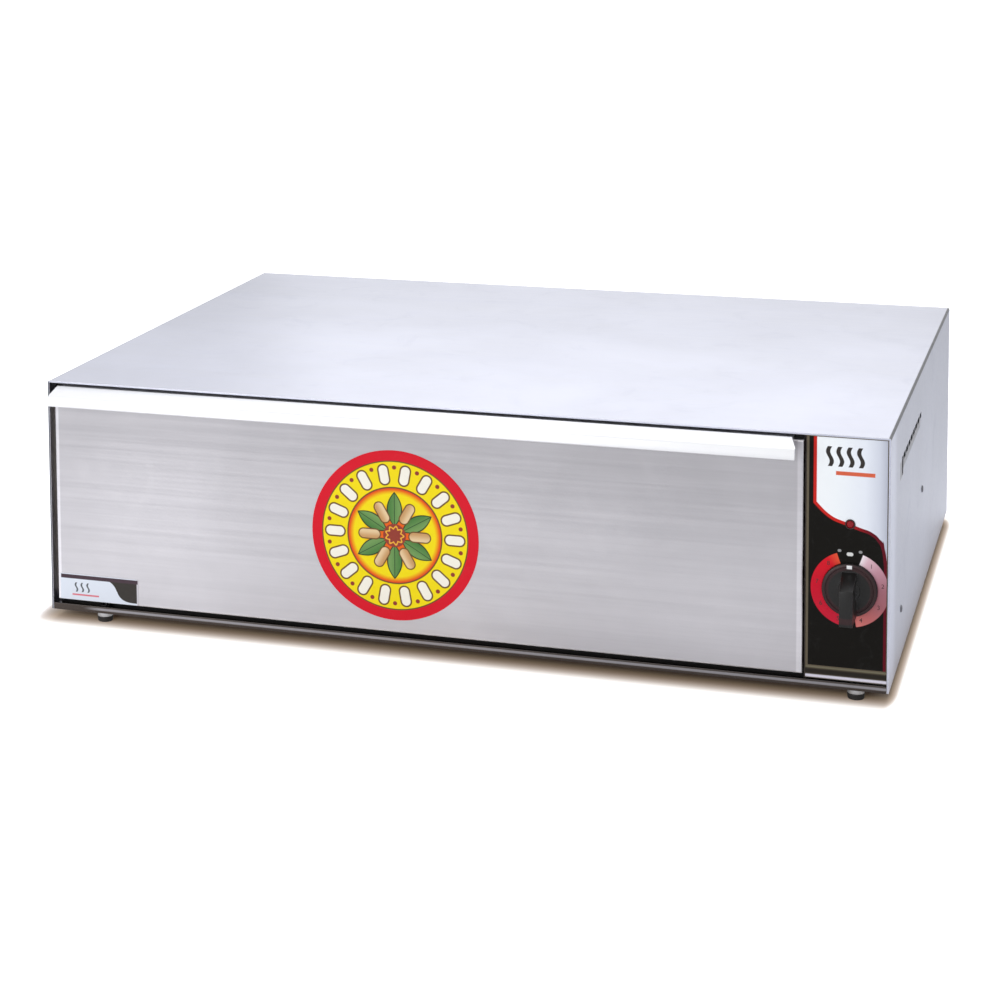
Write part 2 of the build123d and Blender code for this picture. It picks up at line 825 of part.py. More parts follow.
def ball_cage(side, ball_z, ball_offset, web):
    # The cage may only travel where both of its members still overlap
    travel = drawer_travel / 4
    y0 = rail_y0 + travel + cage_margin
    y1 = rail_y1 - travel - cage_margin
    strip_z = cage_sheet / 2
    pocket = ball_radius + cage_pocket_clearance
    cage = slide_block(side, web, web + cage_sheet, y0, y1, -ball_z - strip_z, ball_z + strip_z)
    balls = []
    x = cavity_left + ball_offset if side == "left" else cavity_right - ball_offset
    pitch = (y1 - y0) / cage_balls
    for sign in (-1, 1):
        z = sign * ball_z
        cage += slide_block(side, web, ball_offset + cage_edge, y0, y1, z - strip_z, z + strip_z)
        for i in range(cage_balls):
            y = y0 + (i + 0.5) * pitch
            cage -= rod_z(x, y, slide_z + z - cage_sheet, slide_z + z + cage_sheet, pocket)
            balls.append(Pos(x, y, slide_z + z) * Sphere(ball_radius))
    return Compound(children=[cage] + balls)


# Drawer

def drawer_front_skin():
    outer = block(front_x0, front_x1, front, front_plate_back, front_z0, front_top)
    outer = fillet(edges_facing(outer, front), front_corner)
    inner = block(front_x0 + skin, front_x1 - skin, front + skin, front_plate_back + 1,
                  front_z0 + skin, front_top - skin)
    return outer - inner


def drawer_front_back_plate():
    edge = skin + gap
    y0, y1 = front_plate_back - skin, front_plate_back
    plate = block(front_x0 + edge, front_x1 - edge, y0, y1, front_z0 + edge, front_top - edge)
    for x, z in drawer_screw_spots():
        plate -= rod_y(x, z, y0 - 1, y1 + 1, screw_radius + screw_fit)
    return plate


def drawer_screw_spots():
    pitch = (pan_x1 - pan_x0) / drawer_screw_count
    return [(pan_x0 + (i + 0.5) * pitch, (pan_z0 + pan_z1) / 2) for i in range(drawer_screw_count)]


def drawer_front_insulation():
    edge = skin + 2 * gap
    return block(front_x0 + edge, front_x1 - edge, front + skin + gap, front_plate_back - skin,
                 front_z0 + edge, front_top - edge)


def drawer_handle():
    x0, x1 = front_x0 + handle_inset, front_x1 - handle_inset
    mid = front_top + handle_sheet / 2
    nose = front - handle_reach + handle_sheet / 2
    points = [
        (front + handle_seat, mid),
        (front - 0.5, mid),
        (nose, mid - handle_drop),
        (nose - handle_lip_slant, mid - handle_drop - handle_lip),
    ]
    return sheet_along_x(points, handle_sheet, handle_bend, x0, x1)


def drawer_gasket():
    i = gasket_inset
    return ring_y(front_x0 + i, front_x1 - i, front_z0 + i, front_z1 - i, gasket_width,
                  front_plate_back, front_plate_back + gasket_thick)


def drawer_pan():
    # Floor and both sides folded from one sheet, with a hem turned outwards along the top of each side
    outer = block(pan_x0, pan_x1, pan_y0, pan_y1, pan_z0, pan_z1)
    outer = fillet(edges_along(outer, Axis.Y, lambda c: c.Z < pan_z1 - 1), bend)
    inner = block(pan_x0 + skin, pan_x1 - skin, pan_y0 - 1, pan_y1 + 1, pan_z0 + skin, pan_z1 + 1)
    inner = fillet(edges_along(inner, Axis.Y, lambda c: c.Z < pan_z1), bend - skin)
    pan = outer - inner
    for x0, x1 in ((pan_x0 - pan_hem, pan_x0 + skin), (pan_x1 - skin, pan_x1 + pan_hem)):
        pan += block(x0, x1, pan_y0 + pan_hem_setback, pan_y1 - pan_hem_setback, pan_z1 - skin, pan_z1)
    return pan


def pan_end_wall(y0):
    # Welded in between the sides, with its lower corners cut clear of the folds
    wall = block(pan_x0 + skin, pan_x1 - skin, y0, y0 + skin, pan_z0 + skin, pan_z1)
    return fillet(edges_along(wall, Axis.Y, lambda c: c.Z < pan_z1 - 1), bend)


def drawer_pan_front_wall():
    wall = pan_end_wall(pan_y0)
    for x, z in drawer_screw_spots():
        wall -= rod_y(x, z, pan_y0 - 1, pan_y0 + 2 * skin, screw_radius + screw_fit)
    return wall


def drawer_pan_rear_wall():
    return pan_end_wall(pan_y1 - skin)


def bun_rack():
    # A raised, slotted shelf on turned-down sides, in front of the water pan
    x0, x1 = pan_x0 + skin + rack_gap, pan_x1 - skin - rack_gap
    y0, y1 = pan_y0 + rack_front_room, water_pan_front - rack_gap
    z0 = pan_z0 + skin
    z1 = z0 + rack_height
    rack = block(x0, x1, y0, y1, z0, z1)
    rack -= block(x0 + liner_skin, x1 - liner_skin, y0 - 1, y1 + 1, z0 - 1, z1 - liner_skin)
    pitch_x, pitch_y = (x1 - x0) / rack_columns, (y1 - y0) / rack_rows
    slot = SlotOverall(rack_slot_length, rack_slot_width)
    for i in range(rack_columns):
        for j in range(rack_rows):
            at = Pos(x0 + (i + 0.5) * pitch_x, y0 + (j + 0.5) * pitch_y, z1 - 2 * liner_skin)
            rack -= extrude(at * slot, 3 * liner_skin)
    return rack


def water_pan():
    y0, y1 = water_pan_front, water_pan_front + water_pan_depth
    z0 = pan_z0 + skin
    x0 = pan_x0 + skin + water_pan_side_room
    x1 = pan_x1 - skin - water_pan_side_room
    z1 = z0 + water_pan_height
    outer = fillet(block(x0, x1, y0, y1, z0, z1).edges().filter_by(Axis.Z), water_pan_corner)
    wall = liner_skin
    inner = block(x0 + wall, x1 - wall, y0 + wall, y1 - wall, z0 + wall, z1 + 1)
    inner = fillet(inner.edges().filter_by(Axis.Z), water_pan_corner - wall)
    return outer - inner


def round_decal():
    return rod_y((front_x0 + front_x1) / 2 + decal_offset, base + decal_z, front - film, front, decal_radius)


def corner_label():
    x0, x1 = left + label_left, left + label_right
    label = block(x0, x1, front - film, front, base + label_low, base + label_high)
    return fillet(label.edges().filter_by(Axis.Y), label_corner)


def drawer_screws():
    # Through the drawer pan's front wall into the drawer front's back plate
    screws = []
    for x, z in drawer_screw_spots():
        head = rod_y(x, z, pan_y0 + skin, pan_y0 + skin + screw_head_thick, screw_head_radius)
        head = fillet(edges_facing(head, pan_y0 + skin + screw_head_thick), screw_head_round)
        screws.append(head + rod_y(x, z, pan_y0 - skin, pan_y0 + skin, screw_radius))
    return Compound(children=screws)


# Knob

def thermostat_shaft():
    x, z = knob_at
    inner = panel_back + gap + shaft_pocket - gap
    outer = overlay_front - skirt_gap - knob_bore_depth + gap
    shaft = rod_y(x, z, outer, inner, shaft_radius)
    flat_end = overlay_front - skirt_gap - 2
    return shaft - block(x - 5, x + 5, outer - 1, flat_end, z + shaft_flat, z + 5)


def knob_body():
    x, z = knob_at
    y1 = overlay_front - skirt_gap
    y0 = front - knob_reach
    face = y1 - skirt_thick
    skirt = rod_y(x, z, face, y1, skirt_radius)
    skirt = fillet(edges_facing(skirt, face), skirt_round)
    # Side outline of the grip: its back slopes from the skirt to the nose, its foot is square
    outline = Polyline(
        (y1 - 1, z + grip_top),
        (face, z + grip_top),
        (y0 + grip_chamfer, z + grip_nose),
        (y0, z + grip_nose - grip_chamfer),
        (y0, z - grip_foot + grip_chamfer),
        (y0 + grip_chamfer, z - grip_foot),
        (face, z - skirt_radius + skirt_round),
        (y1 - 1, z - skirt_radius + skirt_round),
        close=True,
    )
    plane = Plane(origin=(x - grip_width / 2, 0, 0), x_dir=(0, 1, 0), z_dir=(1, 0, 0))
    grip = extrude(plane * make_face(outline), grip_width)
    hub = rod_y(x, z, face - hub_height, y1 - 1, hub_radius)
    knob = skirt + grip + hub
    knob -= rod_y(x, z, y1 - knob_bore_depth, y1 + 1, shaft_radius + shaft_fit)
    key = block(x - shaft_radius, x + shaft_radius, y1 - knob_bore_depth, y1 - 2,
                z + shaft_flat + shaft_fit, z + shaft_radius + 1)
    return knob + key


def knob_pointer_mark():
    # A dot let into the skirt above the grip
    x, z = knob_at
    face = overlay_front - skirt_gap - skirt_thick
    z0 = z + grip_top + mark_gap
    return block(x - mark_width / 2, x + mark_width / 2, face - mark_proud, face, z0, z0 + mark_height)


def all_parts():
    parts = {
        "outer_wrapper": outer_wrapper(),
        "back_panel": back_panel(),
        "base_pan": base_pan(),
        "face_frame": face_frame(),
        "divider_panel": divider_panel(),
        "cavity_liner": cavity_liner(),
        "liner_back_wall": liner_back_wall(),
        "liner_floor": liner_floor(),
        "insulation_top": insulation_top(),
        "insulation_sides": insulation_sides(),
        "insulation_rear": insulation_rear(),
        "insulation_floor": insulation_floor(),
        "heating_element": heating_element(),
        "element_clips": element_clips(),
        "element_guard": element_guard(),
        "control_panel_plate": control_panel_plate(),
        "control_overlay": control_overlay(),
        "pilot_light_housing": pilot_light_housing(),
        "pilot_light_lens": pilot_light_lens(),
        "thermostat_body": thermostat_body(),
        "thermostat_capillary": thermostat_capillary(),
        "bulb_clips": bulb_clips(),
        "hi_limit_switch": hi_limit_switch(),
        "terminal_block": terminal_block(),
        "wiring_harness": wiring_harness(),
        "cord_gland": cord_gland(),
        "cord_gland_locknut": cord_gland_locknut(),
        "side_vent_baffle": side_vent_baffle(),
        "side_screws": side_screws(),
        "back_screws": back_screws(),
        "foot_studs": foot_studs(),
        "foot_nuts": foot_nuts(),
        "rubber_feet": rubber_feet(),
        "drawer_front_skin": drawer_front_skin(),
        "drawer_front_back_plate": drawer_front_back_plate(),
        "drawer_front_insulation": drawer_front_insulation(),
        "drawer_handle": drawer_handle(),
        "drawer_gasket": drawer_gasket(),
        "drawer_pan": drawer_pan(),
        "drawer_pan_front_wall": drawer_pan_front_wall(),
        "drawer_pan_rear_wall": drawer_pan_rear_wall(),
        "bun_rack": bun_rack(),
        "water_pan": water_pan(),
        "round_decal": round_decal(),
        "corner_label": corner_label(),
        "drawer_screws": drawer_screws(),
        "thermostat_shaft": thermostat_shaft(),
        "knob_body": knob_body(),
        "knob_pointer_mark": knob_pointer_mark(),
    }
    for side in ("left", "right"):
        parts["slide_outer_" + side] = slide_outer(side)
        parts["slide_middle_" + side] = slide_middle(side)
        parts["slide_inner_" + side] = slide_inner(side)
        outer_cage_web = (slide_sheet + middle_web - cage_sheet) / 2
        inner_cage_web = middle_web + slide_sheet + gap
        parts["ball_cage_outer_" + side] = ball_cage(side, outer_ball_z, outer_ball_offset, outer_cage_web)
        parts["ball_cage_inner_" + side] = ball_cage(side, inner_ball_z, inner_ball_offset, inner_cage_web)
    return parts


os.makedirs("parts", exist_ok=True)
for name, shape in all_parts().items():
    export_step(shape, "parts/" + name + ".step")
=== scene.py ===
import math
import random

import bmesh
import bpy
from mathutils import Matrix, Vector


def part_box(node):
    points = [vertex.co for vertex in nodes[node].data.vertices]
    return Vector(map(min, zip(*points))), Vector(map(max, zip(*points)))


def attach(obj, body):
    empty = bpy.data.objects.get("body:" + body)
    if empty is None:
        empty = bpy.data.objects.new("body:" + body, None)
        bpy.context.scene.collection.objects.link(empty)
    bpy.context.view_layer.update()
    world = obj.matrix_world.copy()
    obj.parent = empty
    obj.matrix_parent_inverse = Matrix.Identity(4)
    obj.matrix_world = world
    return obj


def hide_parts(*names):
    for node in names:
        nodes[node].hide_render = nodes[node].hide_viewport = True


# A hot dog bun warmer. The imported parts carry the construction; this file adds the finishes, the prints,
# the knob, pilot light, screws, feet, pull lip and gland in full detail, and a plain studio round them.
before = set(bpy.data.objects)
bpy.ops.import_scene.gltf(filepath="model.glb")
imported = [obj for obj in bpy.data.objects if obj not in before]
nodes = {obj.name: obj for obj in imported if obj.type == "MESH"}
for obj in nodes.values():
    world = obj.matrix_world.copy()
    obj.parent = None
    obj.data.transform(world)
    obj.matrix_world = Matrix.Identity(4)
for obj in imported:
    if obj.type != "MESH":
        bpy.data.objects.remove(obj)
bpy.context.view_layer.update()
mm = 0.001  # sizes are given in millimetres, apart from the studio's
yAxis, zAxis = Vector((0, 1, 0)), Vector((0, 0, 1))
shaftLow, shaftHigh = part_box("thermostat_shaft")
knobX, knobZ = (shaftLow.x + shaftHigh.x) / 2, (shaftLow.z + shaftHigh.z) / 2
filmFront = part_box("control_overlay")[0].y


# Camera at the photograph's viewpoint

cameraSetup = {
    "place": (692.1 * mm, -2790.3 * mm, 865.9 * mm),
    "turn": 19.93,  # degrees to the left of straight ahead
    "tilt": 5.414,  # degrees below level
    "roll": -0.721,
    "lens": 89.611,
    "shiftX": 0.238,
    "shiftY": -0.4311,
}


def makeCamera():
    turn, tilt, roll = (math.radians(cameraSetup[key]) for key in ("turn", "tilt", "roll"))
    ahead = Vector((-math.sin(turn) * math.cos(tilt), math.cos(turn) * math.cos(tilt), -math.sin(tilt)))
    side = ahead.cross(Vector((0, 0, 1))).normalized()
    up = side.cross(ahead)
    rolledSide = math.cos(roll) * side + math.sin(roll) * up
    rolledUp = math.cos(roll) * up - math.sin(roll) * side
    pose = Matrix((rolledSide, rolledUp, -ahead)).transposed().to_4x4()
    pose.translation = Vector(cameraSetup["place"])
    bpy.ops.object.camera_add()
    camera = bpy.context.object
    camera.name = "productCamera"
    camera.matrix_world = pose
    camera.data.lens = cameraSetup["lens"]
    camera.data.sensor_width = 36
    camera.data.shift_x = cameraSetup["shiftX"]
    camera.data.shift_y = cameraSetup["shiftY"]
    camera.data.clip_end = 200
    bpy.context.scene.camera = camera


makeCamera()
bpy.context.scene.view_settings.view_transform = "Standard"
print("camera placed")


# Small helpers for shader nodes

def newMaterial(name):
    material = bpy.data.materials.new(name)
    material.use_nodes = True
    tree = material.node_tree
    tree.nodes.clear()
    return material, tree, tree.nodes.new("ShaderNodeOutputMaterial")


def feed(tree, socket, value):
    if isinstance(value, bpy.types.NodeSocket):
        tree.links.new(value, socket)
    else:
        socket.default_value = value


def put(tree, kind, inputs=None, **settings):
    node = tree.nodes.new(kind)
    for key, value in settings.items():
        setattr(node, key, value)
    for key, value in (inputs or {}).items():
        feed(tree, node.inputs[key], value)
    return node


def calc(tree, operation, first, second=0.0, third=0.0):
    inputs = {0: first, 1: second, 2: third}
    return put(tree, "ShaderNodeMath", inputs, operation=operation).outputs[0]


def plus(tree, first, second):
    return calc(tree, "ADD", first, second)


def less(tree, first, second):
    return calc(tree, "SUBTRACT", first, second)


def times(tree, first, second):
    return calc(tree, "MULTIPLY", first, second)


def vectorCalc(tree, operation, first, second=(0, 0, 0), output="Vector"):
    return put(tree, "ShaderNodeVectorMath", {0: first, 1: second}, operation=operation).outputs[output]


def noise(tree, place, scale, settings):
    return put(tree, "ShaderNodeTexNoise", {"Vector": place, "Scale": scale, **settings}).outputs["Fac"]


def parts(tree, place):
    return put(tree, "ShaderNodeSeparateXYZ", {0: place}).outputs


def ramp(tree, value, low, high, toLow=0.0, toHigh=1.0, kind="SMOOTHSTEP"):
    inputs = {"Value": value, "From Min": low, "From Max": high, "To Min": toLow, "To Max": toHigh}
    return put(tree, "ShaderNodeMapRange", inputs, interpolation_type=kind).outputs[0]


def blendColours(tree, mask, first, second, kind="MIX"):
    node = put(tree, "ShaderNodeMix", data_type="RGBA", blend_type=kind)
    feed(tree, node.inputs[0], mask)
    feed(tree, node.inputs[6], first)
    feed(tree, node.inputs[7], second)
    return node.outputs[2]


def opaque(colour):
    return (colour[0], colour[1], colour[2], 1)


def ink(red, green, blue):
    # A printed colour as it looks on a screen, 0 to 255
    return tuple(((part / 255 + 0.055) / 1.055) ** 2.4 for part in (red, green, blue)) + (1,)


def toned(tree, colour, tone):
    grey = put(tree, "ShaderNodeCombineColor", {0: tone, 1: tone, 2: tone}).outputs[0]
    return blendColours(tree, 1.0, colour, grey, "MULTIPLY")


def objectPlace(tree):
    return put(tree, "ShaderNodeTexCoord").outputs["Object"]


# Shader groups that several finishes share

def newGroup(name, inputs, outputs):
    # Each socket comes with its starting value, and a triple makes it a vector
    group = bpy.data.node_groups.new(name, "ShaderNodeTree")
    for way, sockets in (("INPUT", inputs), ("OUTPUT", outputs)):
        for label, value in sockets.items():
            kind = "NodeSocketVector" if isinstance(value, tuple) else "NodeSocketFloat"
            group.interface.new_socket(label, in_out=way, socket_type=kind).default_value = value
    return group, group.nodes.new("NodeGroupInput").outputs, group.nodes.new("NodeGroupOutput").inputs


def use(tree, group, **inputs):
    node = put(tree, "ShaderNodeGroup", node_tree=group)
    for key, value in inputs.items():
        feed(tree, node.inputs[key], value)
    return node.outputs


def makeBeltBrushing():
    # Long noise along the grain and short across it: hair-fine scratches, and broader bands of them
    inputs = {"Vector": (0, 0, 0), "Fine": 2200.0, "Broad": 240.0}
    group, given, result = newGroup("beltBrushing", inputs, {"Scratches": 0.0, "Bands": 0.0})
    for label, size, detail in (("Scratches", "Fine", 2.0), ("Bands", "Broad", 3.0)):
        settings = {"Detail": detail, "Roughness": 0.6}
        feed(group, result[label], noise(group, given["Vector"], given[size], settings))
    return group


def makeWipeMarks():
    # Broad cloudy patches and thin smears, as a cloth leaves on a flat sheet
    inputs = {"Vector": (0, 0, 0), "Size": 5.0}
    group, given, result = newGroup("wipeMarks", inputs, {"Clouds": 0.0, "Smears": 0.0})
    settings = {"Detail": 4.0, "Roughness": 0.55, "Distortion": 0.4}
    clouds = noise(group, given["Vector"], given["Size"], settings)
    settings = {"Detail": 6.0, "Roughness": 0.65, "Distortion": 1.8}
    smears = noise(group, given["Vector"], times(group, given["Size"], 2.7), settings)
    feed(group, result["Clouds"], ramp(group, clouds, 0.3, 0.7))
    feed(group, result["Smears"], ramp(group, smears, 0.52, 0.72))
    return group


def makeEdgeWearAndHighlightMask():
    # A corner shows where the rounded normal leaves the true one
    inputs = {"Radius": 1.2 * mm, "Reach": 0.2}
    group, given, result = newGroup("edgeWearAndHighlightMask", inputs, {"Edge": 0.0, "Normal": (0, 0, 0)})
    rounded = put(group, "ShaderNodeBevel", {"Radius": given["Radius"]}, samples=4).outputs[0]
    true = put(group, "ShaderNodeNewGeometry").outputs["Normal"]
    match = vectorCalc(group, "DOT_PRODUCT", rounded, true, "Value")
    away = less(group, 1.0, match)
    feed(group, result["Edge"], ramp(group, away, 0.01, given["Reach"]))
    feed(group, result["Normal"], rounded)
    return group


def makeSettledDust():
    # Fine dust that lies on what faces up and gathers in patches
    inputs = {"Vector": (0, 0, 0), "Amount": 0.2}
    group, given, result = newGroup("settledDust", inputs, {"Dust": 0.0})
    normal = put(group, "ShaderNodeNewGeometry").outputs["Normal"]
    upward = parts(group, normal)["Z"]
    patches = noise(group, given["Vector"], 14.0, {"Detail": 8.0, "Roughness": 0.7})
    lying = times(group, ramp(group, upward, 0.5, 1.0), ramp(group, patches, 0.4, 0.75))
    feed(group, result["Dust"], times(group, lying, given["Amount"]))
    return group


beltBrushing, wipeMarks = makeBeltBrushing(), makeWipeMarks()
edgeWearAndHighlightMask, settledDust = makeEdgeWearAndHighlightMask(), makeSettledDust()


# Metal finishes. The grain is the direction that the belt ran in.

grainStretch = {"x": (0.012, 1, 1), "y": (1, 0.012, 1), "z": (1, 1, 0.012), "none": (1, 1, 1)}

plainMetal = {
    "colour": (0.52, 0.51, 0.53),
    "rough": 0.33,
    "grain": "x",
    "scratchDepth": 0.25,
    "bands": 0.04,
    "clouds": 0.04,
    "smears": 0.05,
    # Edge colour blended in at the corners: wear and a painted highlight
    "edge": 0.5,
    "edgeRadius": 0.9 * mm,
    "edgeColour": (0.86, 0.86, 0.89),
    "metallic": 1.0,
    # Painted shade: how far the top folds are darkened, and the tone of the side faces
    "paintedFoldShade": 0.0,
    "paintedSideShade": 1.0,
    # Painted highlight and shade lines at a level: height and half width in mm, colour, and the X where they
    # begin
    "beads": [],
    # Painted light and shade: axis, from and to in mm, the tones there, and the way the faces look
    "paintedTones": [],
    # Painted shade round the vent slots on the right face: from and to along Y, from and to along Z, all in
    # mm
    "paintedVentShade": [],
    "dust": 0.0,
}

paintedLineStart = 12  # mm over which a painted line comes in
rightFace = (450 * mm, 451 * mm, 0.0, 0.7)  # the painted vent shade shows past this X, with this strength
dustAndShadeInk = {"ventShade": (0.1, 0.1, 0.105), "dust": (0.6, 0.58, 0.55), "paintedGapShade": (0.006, 0.005, 0.005)}

metalFinishes = {
    "wrapperSteel": {"colour": (0.545, 0.56, 0.655), "clouds": 0.05, "paintedFoldShade": 0.85, "paintedSideShade": 0.81,
                     "edge": 0.9, "edgeColour": (0.95, 0.95, 0.97), "dust": 0.05,
                     # Painted shade darkens the top towards the back and the left front edge; a painted
                     # highlight lightens the side near its front fold
                     "paintedTones": [("Y", -250, 330, 1.0, 0.8, "Z"), ("Y", -265, -312, 1.0, 1.35, "X"),
                               ("X", -450, -451.6, 1.0, 0.26, "Y")],
                     # The dark boxes by the side vents are painted shade
                     "paintedVentShade": [(-224, -27, 209.5, 223), (-246, -213, 203, 221)]},
    # Painted light and shade on the drawer front: darker under the lip, lighter to the left, and painted
    # highlights along its left, right and lower edges
    "frontSteel": {"colour": (0.53, 0.515, 0.54), "bands": 0.03, "clouds": 0.07, "edge": 1.0,
                   "edgeRadius": 2.2 * mm, "edgeColour": (0.97, 0.97, 0.99),
                   "paintedTones": [("Z", 250, 130, 0.8, 1.0, "Y"), ("X", -400, 0, 1.09, 1.0, "Y"),
                             ("X", -441, -439.5, 1.4, 1.0, "Y"), ("X", 361.5, 363, 1.0, 1.25, "Y"),
                             ("Z", 28, 26, 1.0, 1.12, "Y")]},
    # The pull lip's near-white colour and half-metal finish paint the light it catches: a painted highlight
    # on the same steel
    "lipSteel": {"colour": (0.93, 0.93, 0.945), "rough": 0.42, "metallic": 0.5, "bands": 0.02, "edge": 0.3},
    # The base pan's dark brown is painted shade under the cabinet, and its level line along the rail a
    # painted highlight
    "baseSteel": {"colour": (0.07, 0.058, 0.052), "rough": 0.34, "bands": 0.06, "edge": 0.1,
                  "beads": [(16.1, 1.5, (0.31, 0.3, 0.32), -405)]},
    # The control plate is kept dark and warm; of its level lines the dark one is painted shade and the other
    # two painted highlights
    "panelSteel": {"colour": (0.13, 0.108, 0.075), "rough": 0.36, "edge": 0.25,
                   "edgeColour": (0.5, 0.47, 0.42),
                   "beads": [(27.6, 3.4, (0.03, 0.026, 0.022), -1000),
                             (31.9, 0.9, (0.17, 0.155, 0.105), -1000),
                             (22.8, 1.6, (0.72, 0.7, 0.8), -1000)]},
    "linerSteel": {"colour": (0.56, 0.55, 0.56), "rough": 0.36, "grain": "y", "smears": 0.1},
    "panSteel": {"colour": (0.62, 0.615, 0.625), "rough": 0.3, "grain": "y", "smears": 0.08, "dust": 0.05},
    "rackSteel": {"colour": (0.66, 0.655, 0.665), "rough": 0.27, "smears": 0.08},
    "zincSteel": {"colour": (0.6, 0.61, 0.64), "rough": 0.32, "grain": "none", "bands": 0.08, "clouds": 0.12},
    "slideSteel": {"colour": (0.56, 0.57, 0.59), "rough": 0.34, "grain": "y", "clouds": 0.08},
    "elementSheath": {"colour": (0.17, 0.14, 0.12), "rough": 0.5, "grain": "none", "clouds": 0.3,
                      "edge": 0.1},
    "copperTube": {"colour": (0.82, 0.42, 0.28), "rough": 0.3, "grain": "none", "clouds": 0.2, "edge": 0.2},
    "shaftSteel": {"colour": (0.6, 0.59, 0.58), "rough": 0.25, "grain": "y"},
    # Painted shade: the studs turn nearly black above the base pan, inside the cabinet
    "studSteel": {"colour": (0.6, 0.61, 0.64), "rough": 0.32, "grain": "none", "bands": 0.08, "clouds": 0.12,
                  "paintedTones": [("Z", 12, 14, 1.0, 0.04, way) for way in "XYZ"]},
    "darkZinc": {"colour": (0.16, 0.16, 0.18), "rough": 0.4, "grain": "none", "clouds": 0.12, "edge": 0.15},
}


def paintEdgeWearAndHighlight(tree, base, look):
    # The colour with its corners worn and tinted towards the edge colour, mostly a painted highlight, and the
    # normal that rounds them
    edges = use(tree, edgeWearAndHighlightMask, Radius=look["edgeRadius"])
    wearAndHighlight = times(tree, edges["Edge"], look["edge"])
    return blendColours(tree, wearAndHighlight, base, opaque(look["edgeColour"])), edges["Normal"]


def coverSurface(tree, output, colour, rough, bump, settings):
    normal = put(tree, "ShaderNodeBump", bump).outputs[0]
    settings = {"Base Color": colour, "Roughness": rough, "Normal": normal, **settings}
    shader = put(tree, "ShaderNodeBsdfPrincipled", settings)
    tree.links.new(shader.outputs[0], output.inputs["Surface"])


# Paints light and shade on a sheet: tone ramps, level lines and shade round the vents
def paintSheetLightAndShade(tree, base, look, spot, facing):
    # Painted light and shade: tone ramps along an axis, on faces turned the given way
    for axis, start, end, fromTone, toTone, way in look["paintedTones"]:
        paintedTone = ramp(tree, spot[axis], start * mm, end * mm, fromTone, toTone)
        aimed = ramp(tree, calc(tree, "ABSOLUTE", facing[way]), 0.7, 0.9)
        base = blendColours(tree, aimed, base, toned(tree, base, paintedTone))
    # Painted highlight and shade lines at given heights
    for height, half, colour, start in look["beads"]:
        away = calc(tree, "ABSOLUTE", less(tree, spot["Z"], height * mm))
        line = times(tree, ramp(tree, away, 0.4 * half * mm, 1.3 * half * mm, 1.0, 0.0),
                     ramp(tree, spot["X"], (start - paintedLineStart) * mm, (start + paintedLineStart) * mm))
        base = blendColours(tree, line, base, opaque(colour))
    # Painted shade round the side vents, on the right face only
    for start, end, low, high in look["paintedVentShade"]:
        ventShade = times(tree, between(tree, spot["Y"], start * mm, end * mm, 3 * mm),
                      between(tree, spot["Z"], low * mm, high * mm, 1.2 * mm))
        ventShade = times(tree, ventShade, ramp(tree, spot["X"], *rightFace))
        base = blendColours(tree, ventShade, base, opaque(dustAndShadeInk["ventShade"]))
    return base


def makeMetal(name, changes):
    look = {**plainMetal, **changes}
    material, tree, output = newMaterial(name)
    place = objectPlace(tree)
    along = put(tree, "ShaderNodeMapping", {"Vector": place, "Scale": grainStretch[look["grain"]]}).outputs[0]
    brushed = use(tree, beltBrushing, Vector=along)
    wiped = use(tree, wipeMarks, Vector=place)
    bands = ramp(tree, brushed["Bands"], 0.3, 0.7, 1 - look["bands"], 1 + look["bands"], "LINEAR")
    hairs = ramp(tree, brushed["Scratches"], 0.3, 0.7, 1 - look["bands"] / 2, 1 + look["bands"] / 2, "LINEAR")
    clouds = ramp(tree, wiped["Clouds"], 0.0, 1.0, 1 - look["clouds"], 1 + look["clouds"] / 2, "LINEAR")
    tone = times(tree, times(tree, bands, hairs), clouds)
    spot = parts(tree, place)
    facing = parts(tree, put(tree, "ShaderNodeNewGeometry").outputs["Normal"])
    if look["paintedFoldShade"]:
        # Painted shade: the folds along the top are darkened, and the side faces are given a darker tone
        folded = calc(tree, "ABSOLUTE", times(tree, facing["X"], facing["Z"]))
        tone = times(tree, tone, ramp(tree, folded, 0.02, 0.2, 1.0, 1 - look["paintedFoldShade"]))
        side = calc(tree, "ABSOLUTE", facing["X"])
        tone = times(tree, tone, ramp(tree, side, 0.8, 0.98, 1.0, look["paintedSideShade"]))
    base = toned(tree, opaque(look["colour"]), tone)
    base, normal = paintEdgeWearAndHighlight(tree, base, look)
    base = paintSheetLightAndShade(tree, base, look, spot, facing)
    metallic = look["metallic"]
    rough = plus(tree, ramp(tree, brushed["Bands"], 0.3, 0.7, look["rough"] - 0.03, look["rough"] + 0.04),
                 times(tree, wiped["Smears"], look["smears"]))
    if look["dust"]:
        dust = use(tree, settledDust, Vector=place, Amount=look["dust"])["Dust"]
        base = blendColours(tree, dust, base, opaque(dustAndShadeInk["dust"]))
        metallic = times(tree, metallic, less(tree, 1.0, dust))
        rough = plus(tree, rough, times(tree, dust, 0.5))
    bump = {"Strength": look["scratchDepth"], "Distance": 0.02 * mm, "Height": brushed["Scratches"]}
    coverSurface(tree, output, base, rough, {**bump, "Normal": normal}, {"Metallic": metallic})
    return material


# Moulded plastic, rubber and fibre finishes

plainMoulding = {
    "colour": (0.02, 0.02, 0.02),
    "rough": 0.4,
    "grain": 1800.0,  # noise scale of the mould's texture
    "grainDepth": 0.2,
    # Edge colour blended in at the corners: wear and a painted highlight
    "edge": 0.25,
    "edgeColour": (0.1, 0.1, 0.1),
    "edgeRadius": 0.5 * mm,
    "mottle": 0.12,
    "paintedShadeEnds": None,  # painted shade: black below the first and above the second height, in mm
    "rim": None,  # a ring round the dial's axis tinted as a painted reflection of the red dial ring: inner and outer radius in mm, and colour
    "coat": 0.0,
    "specular": 0.5,
}

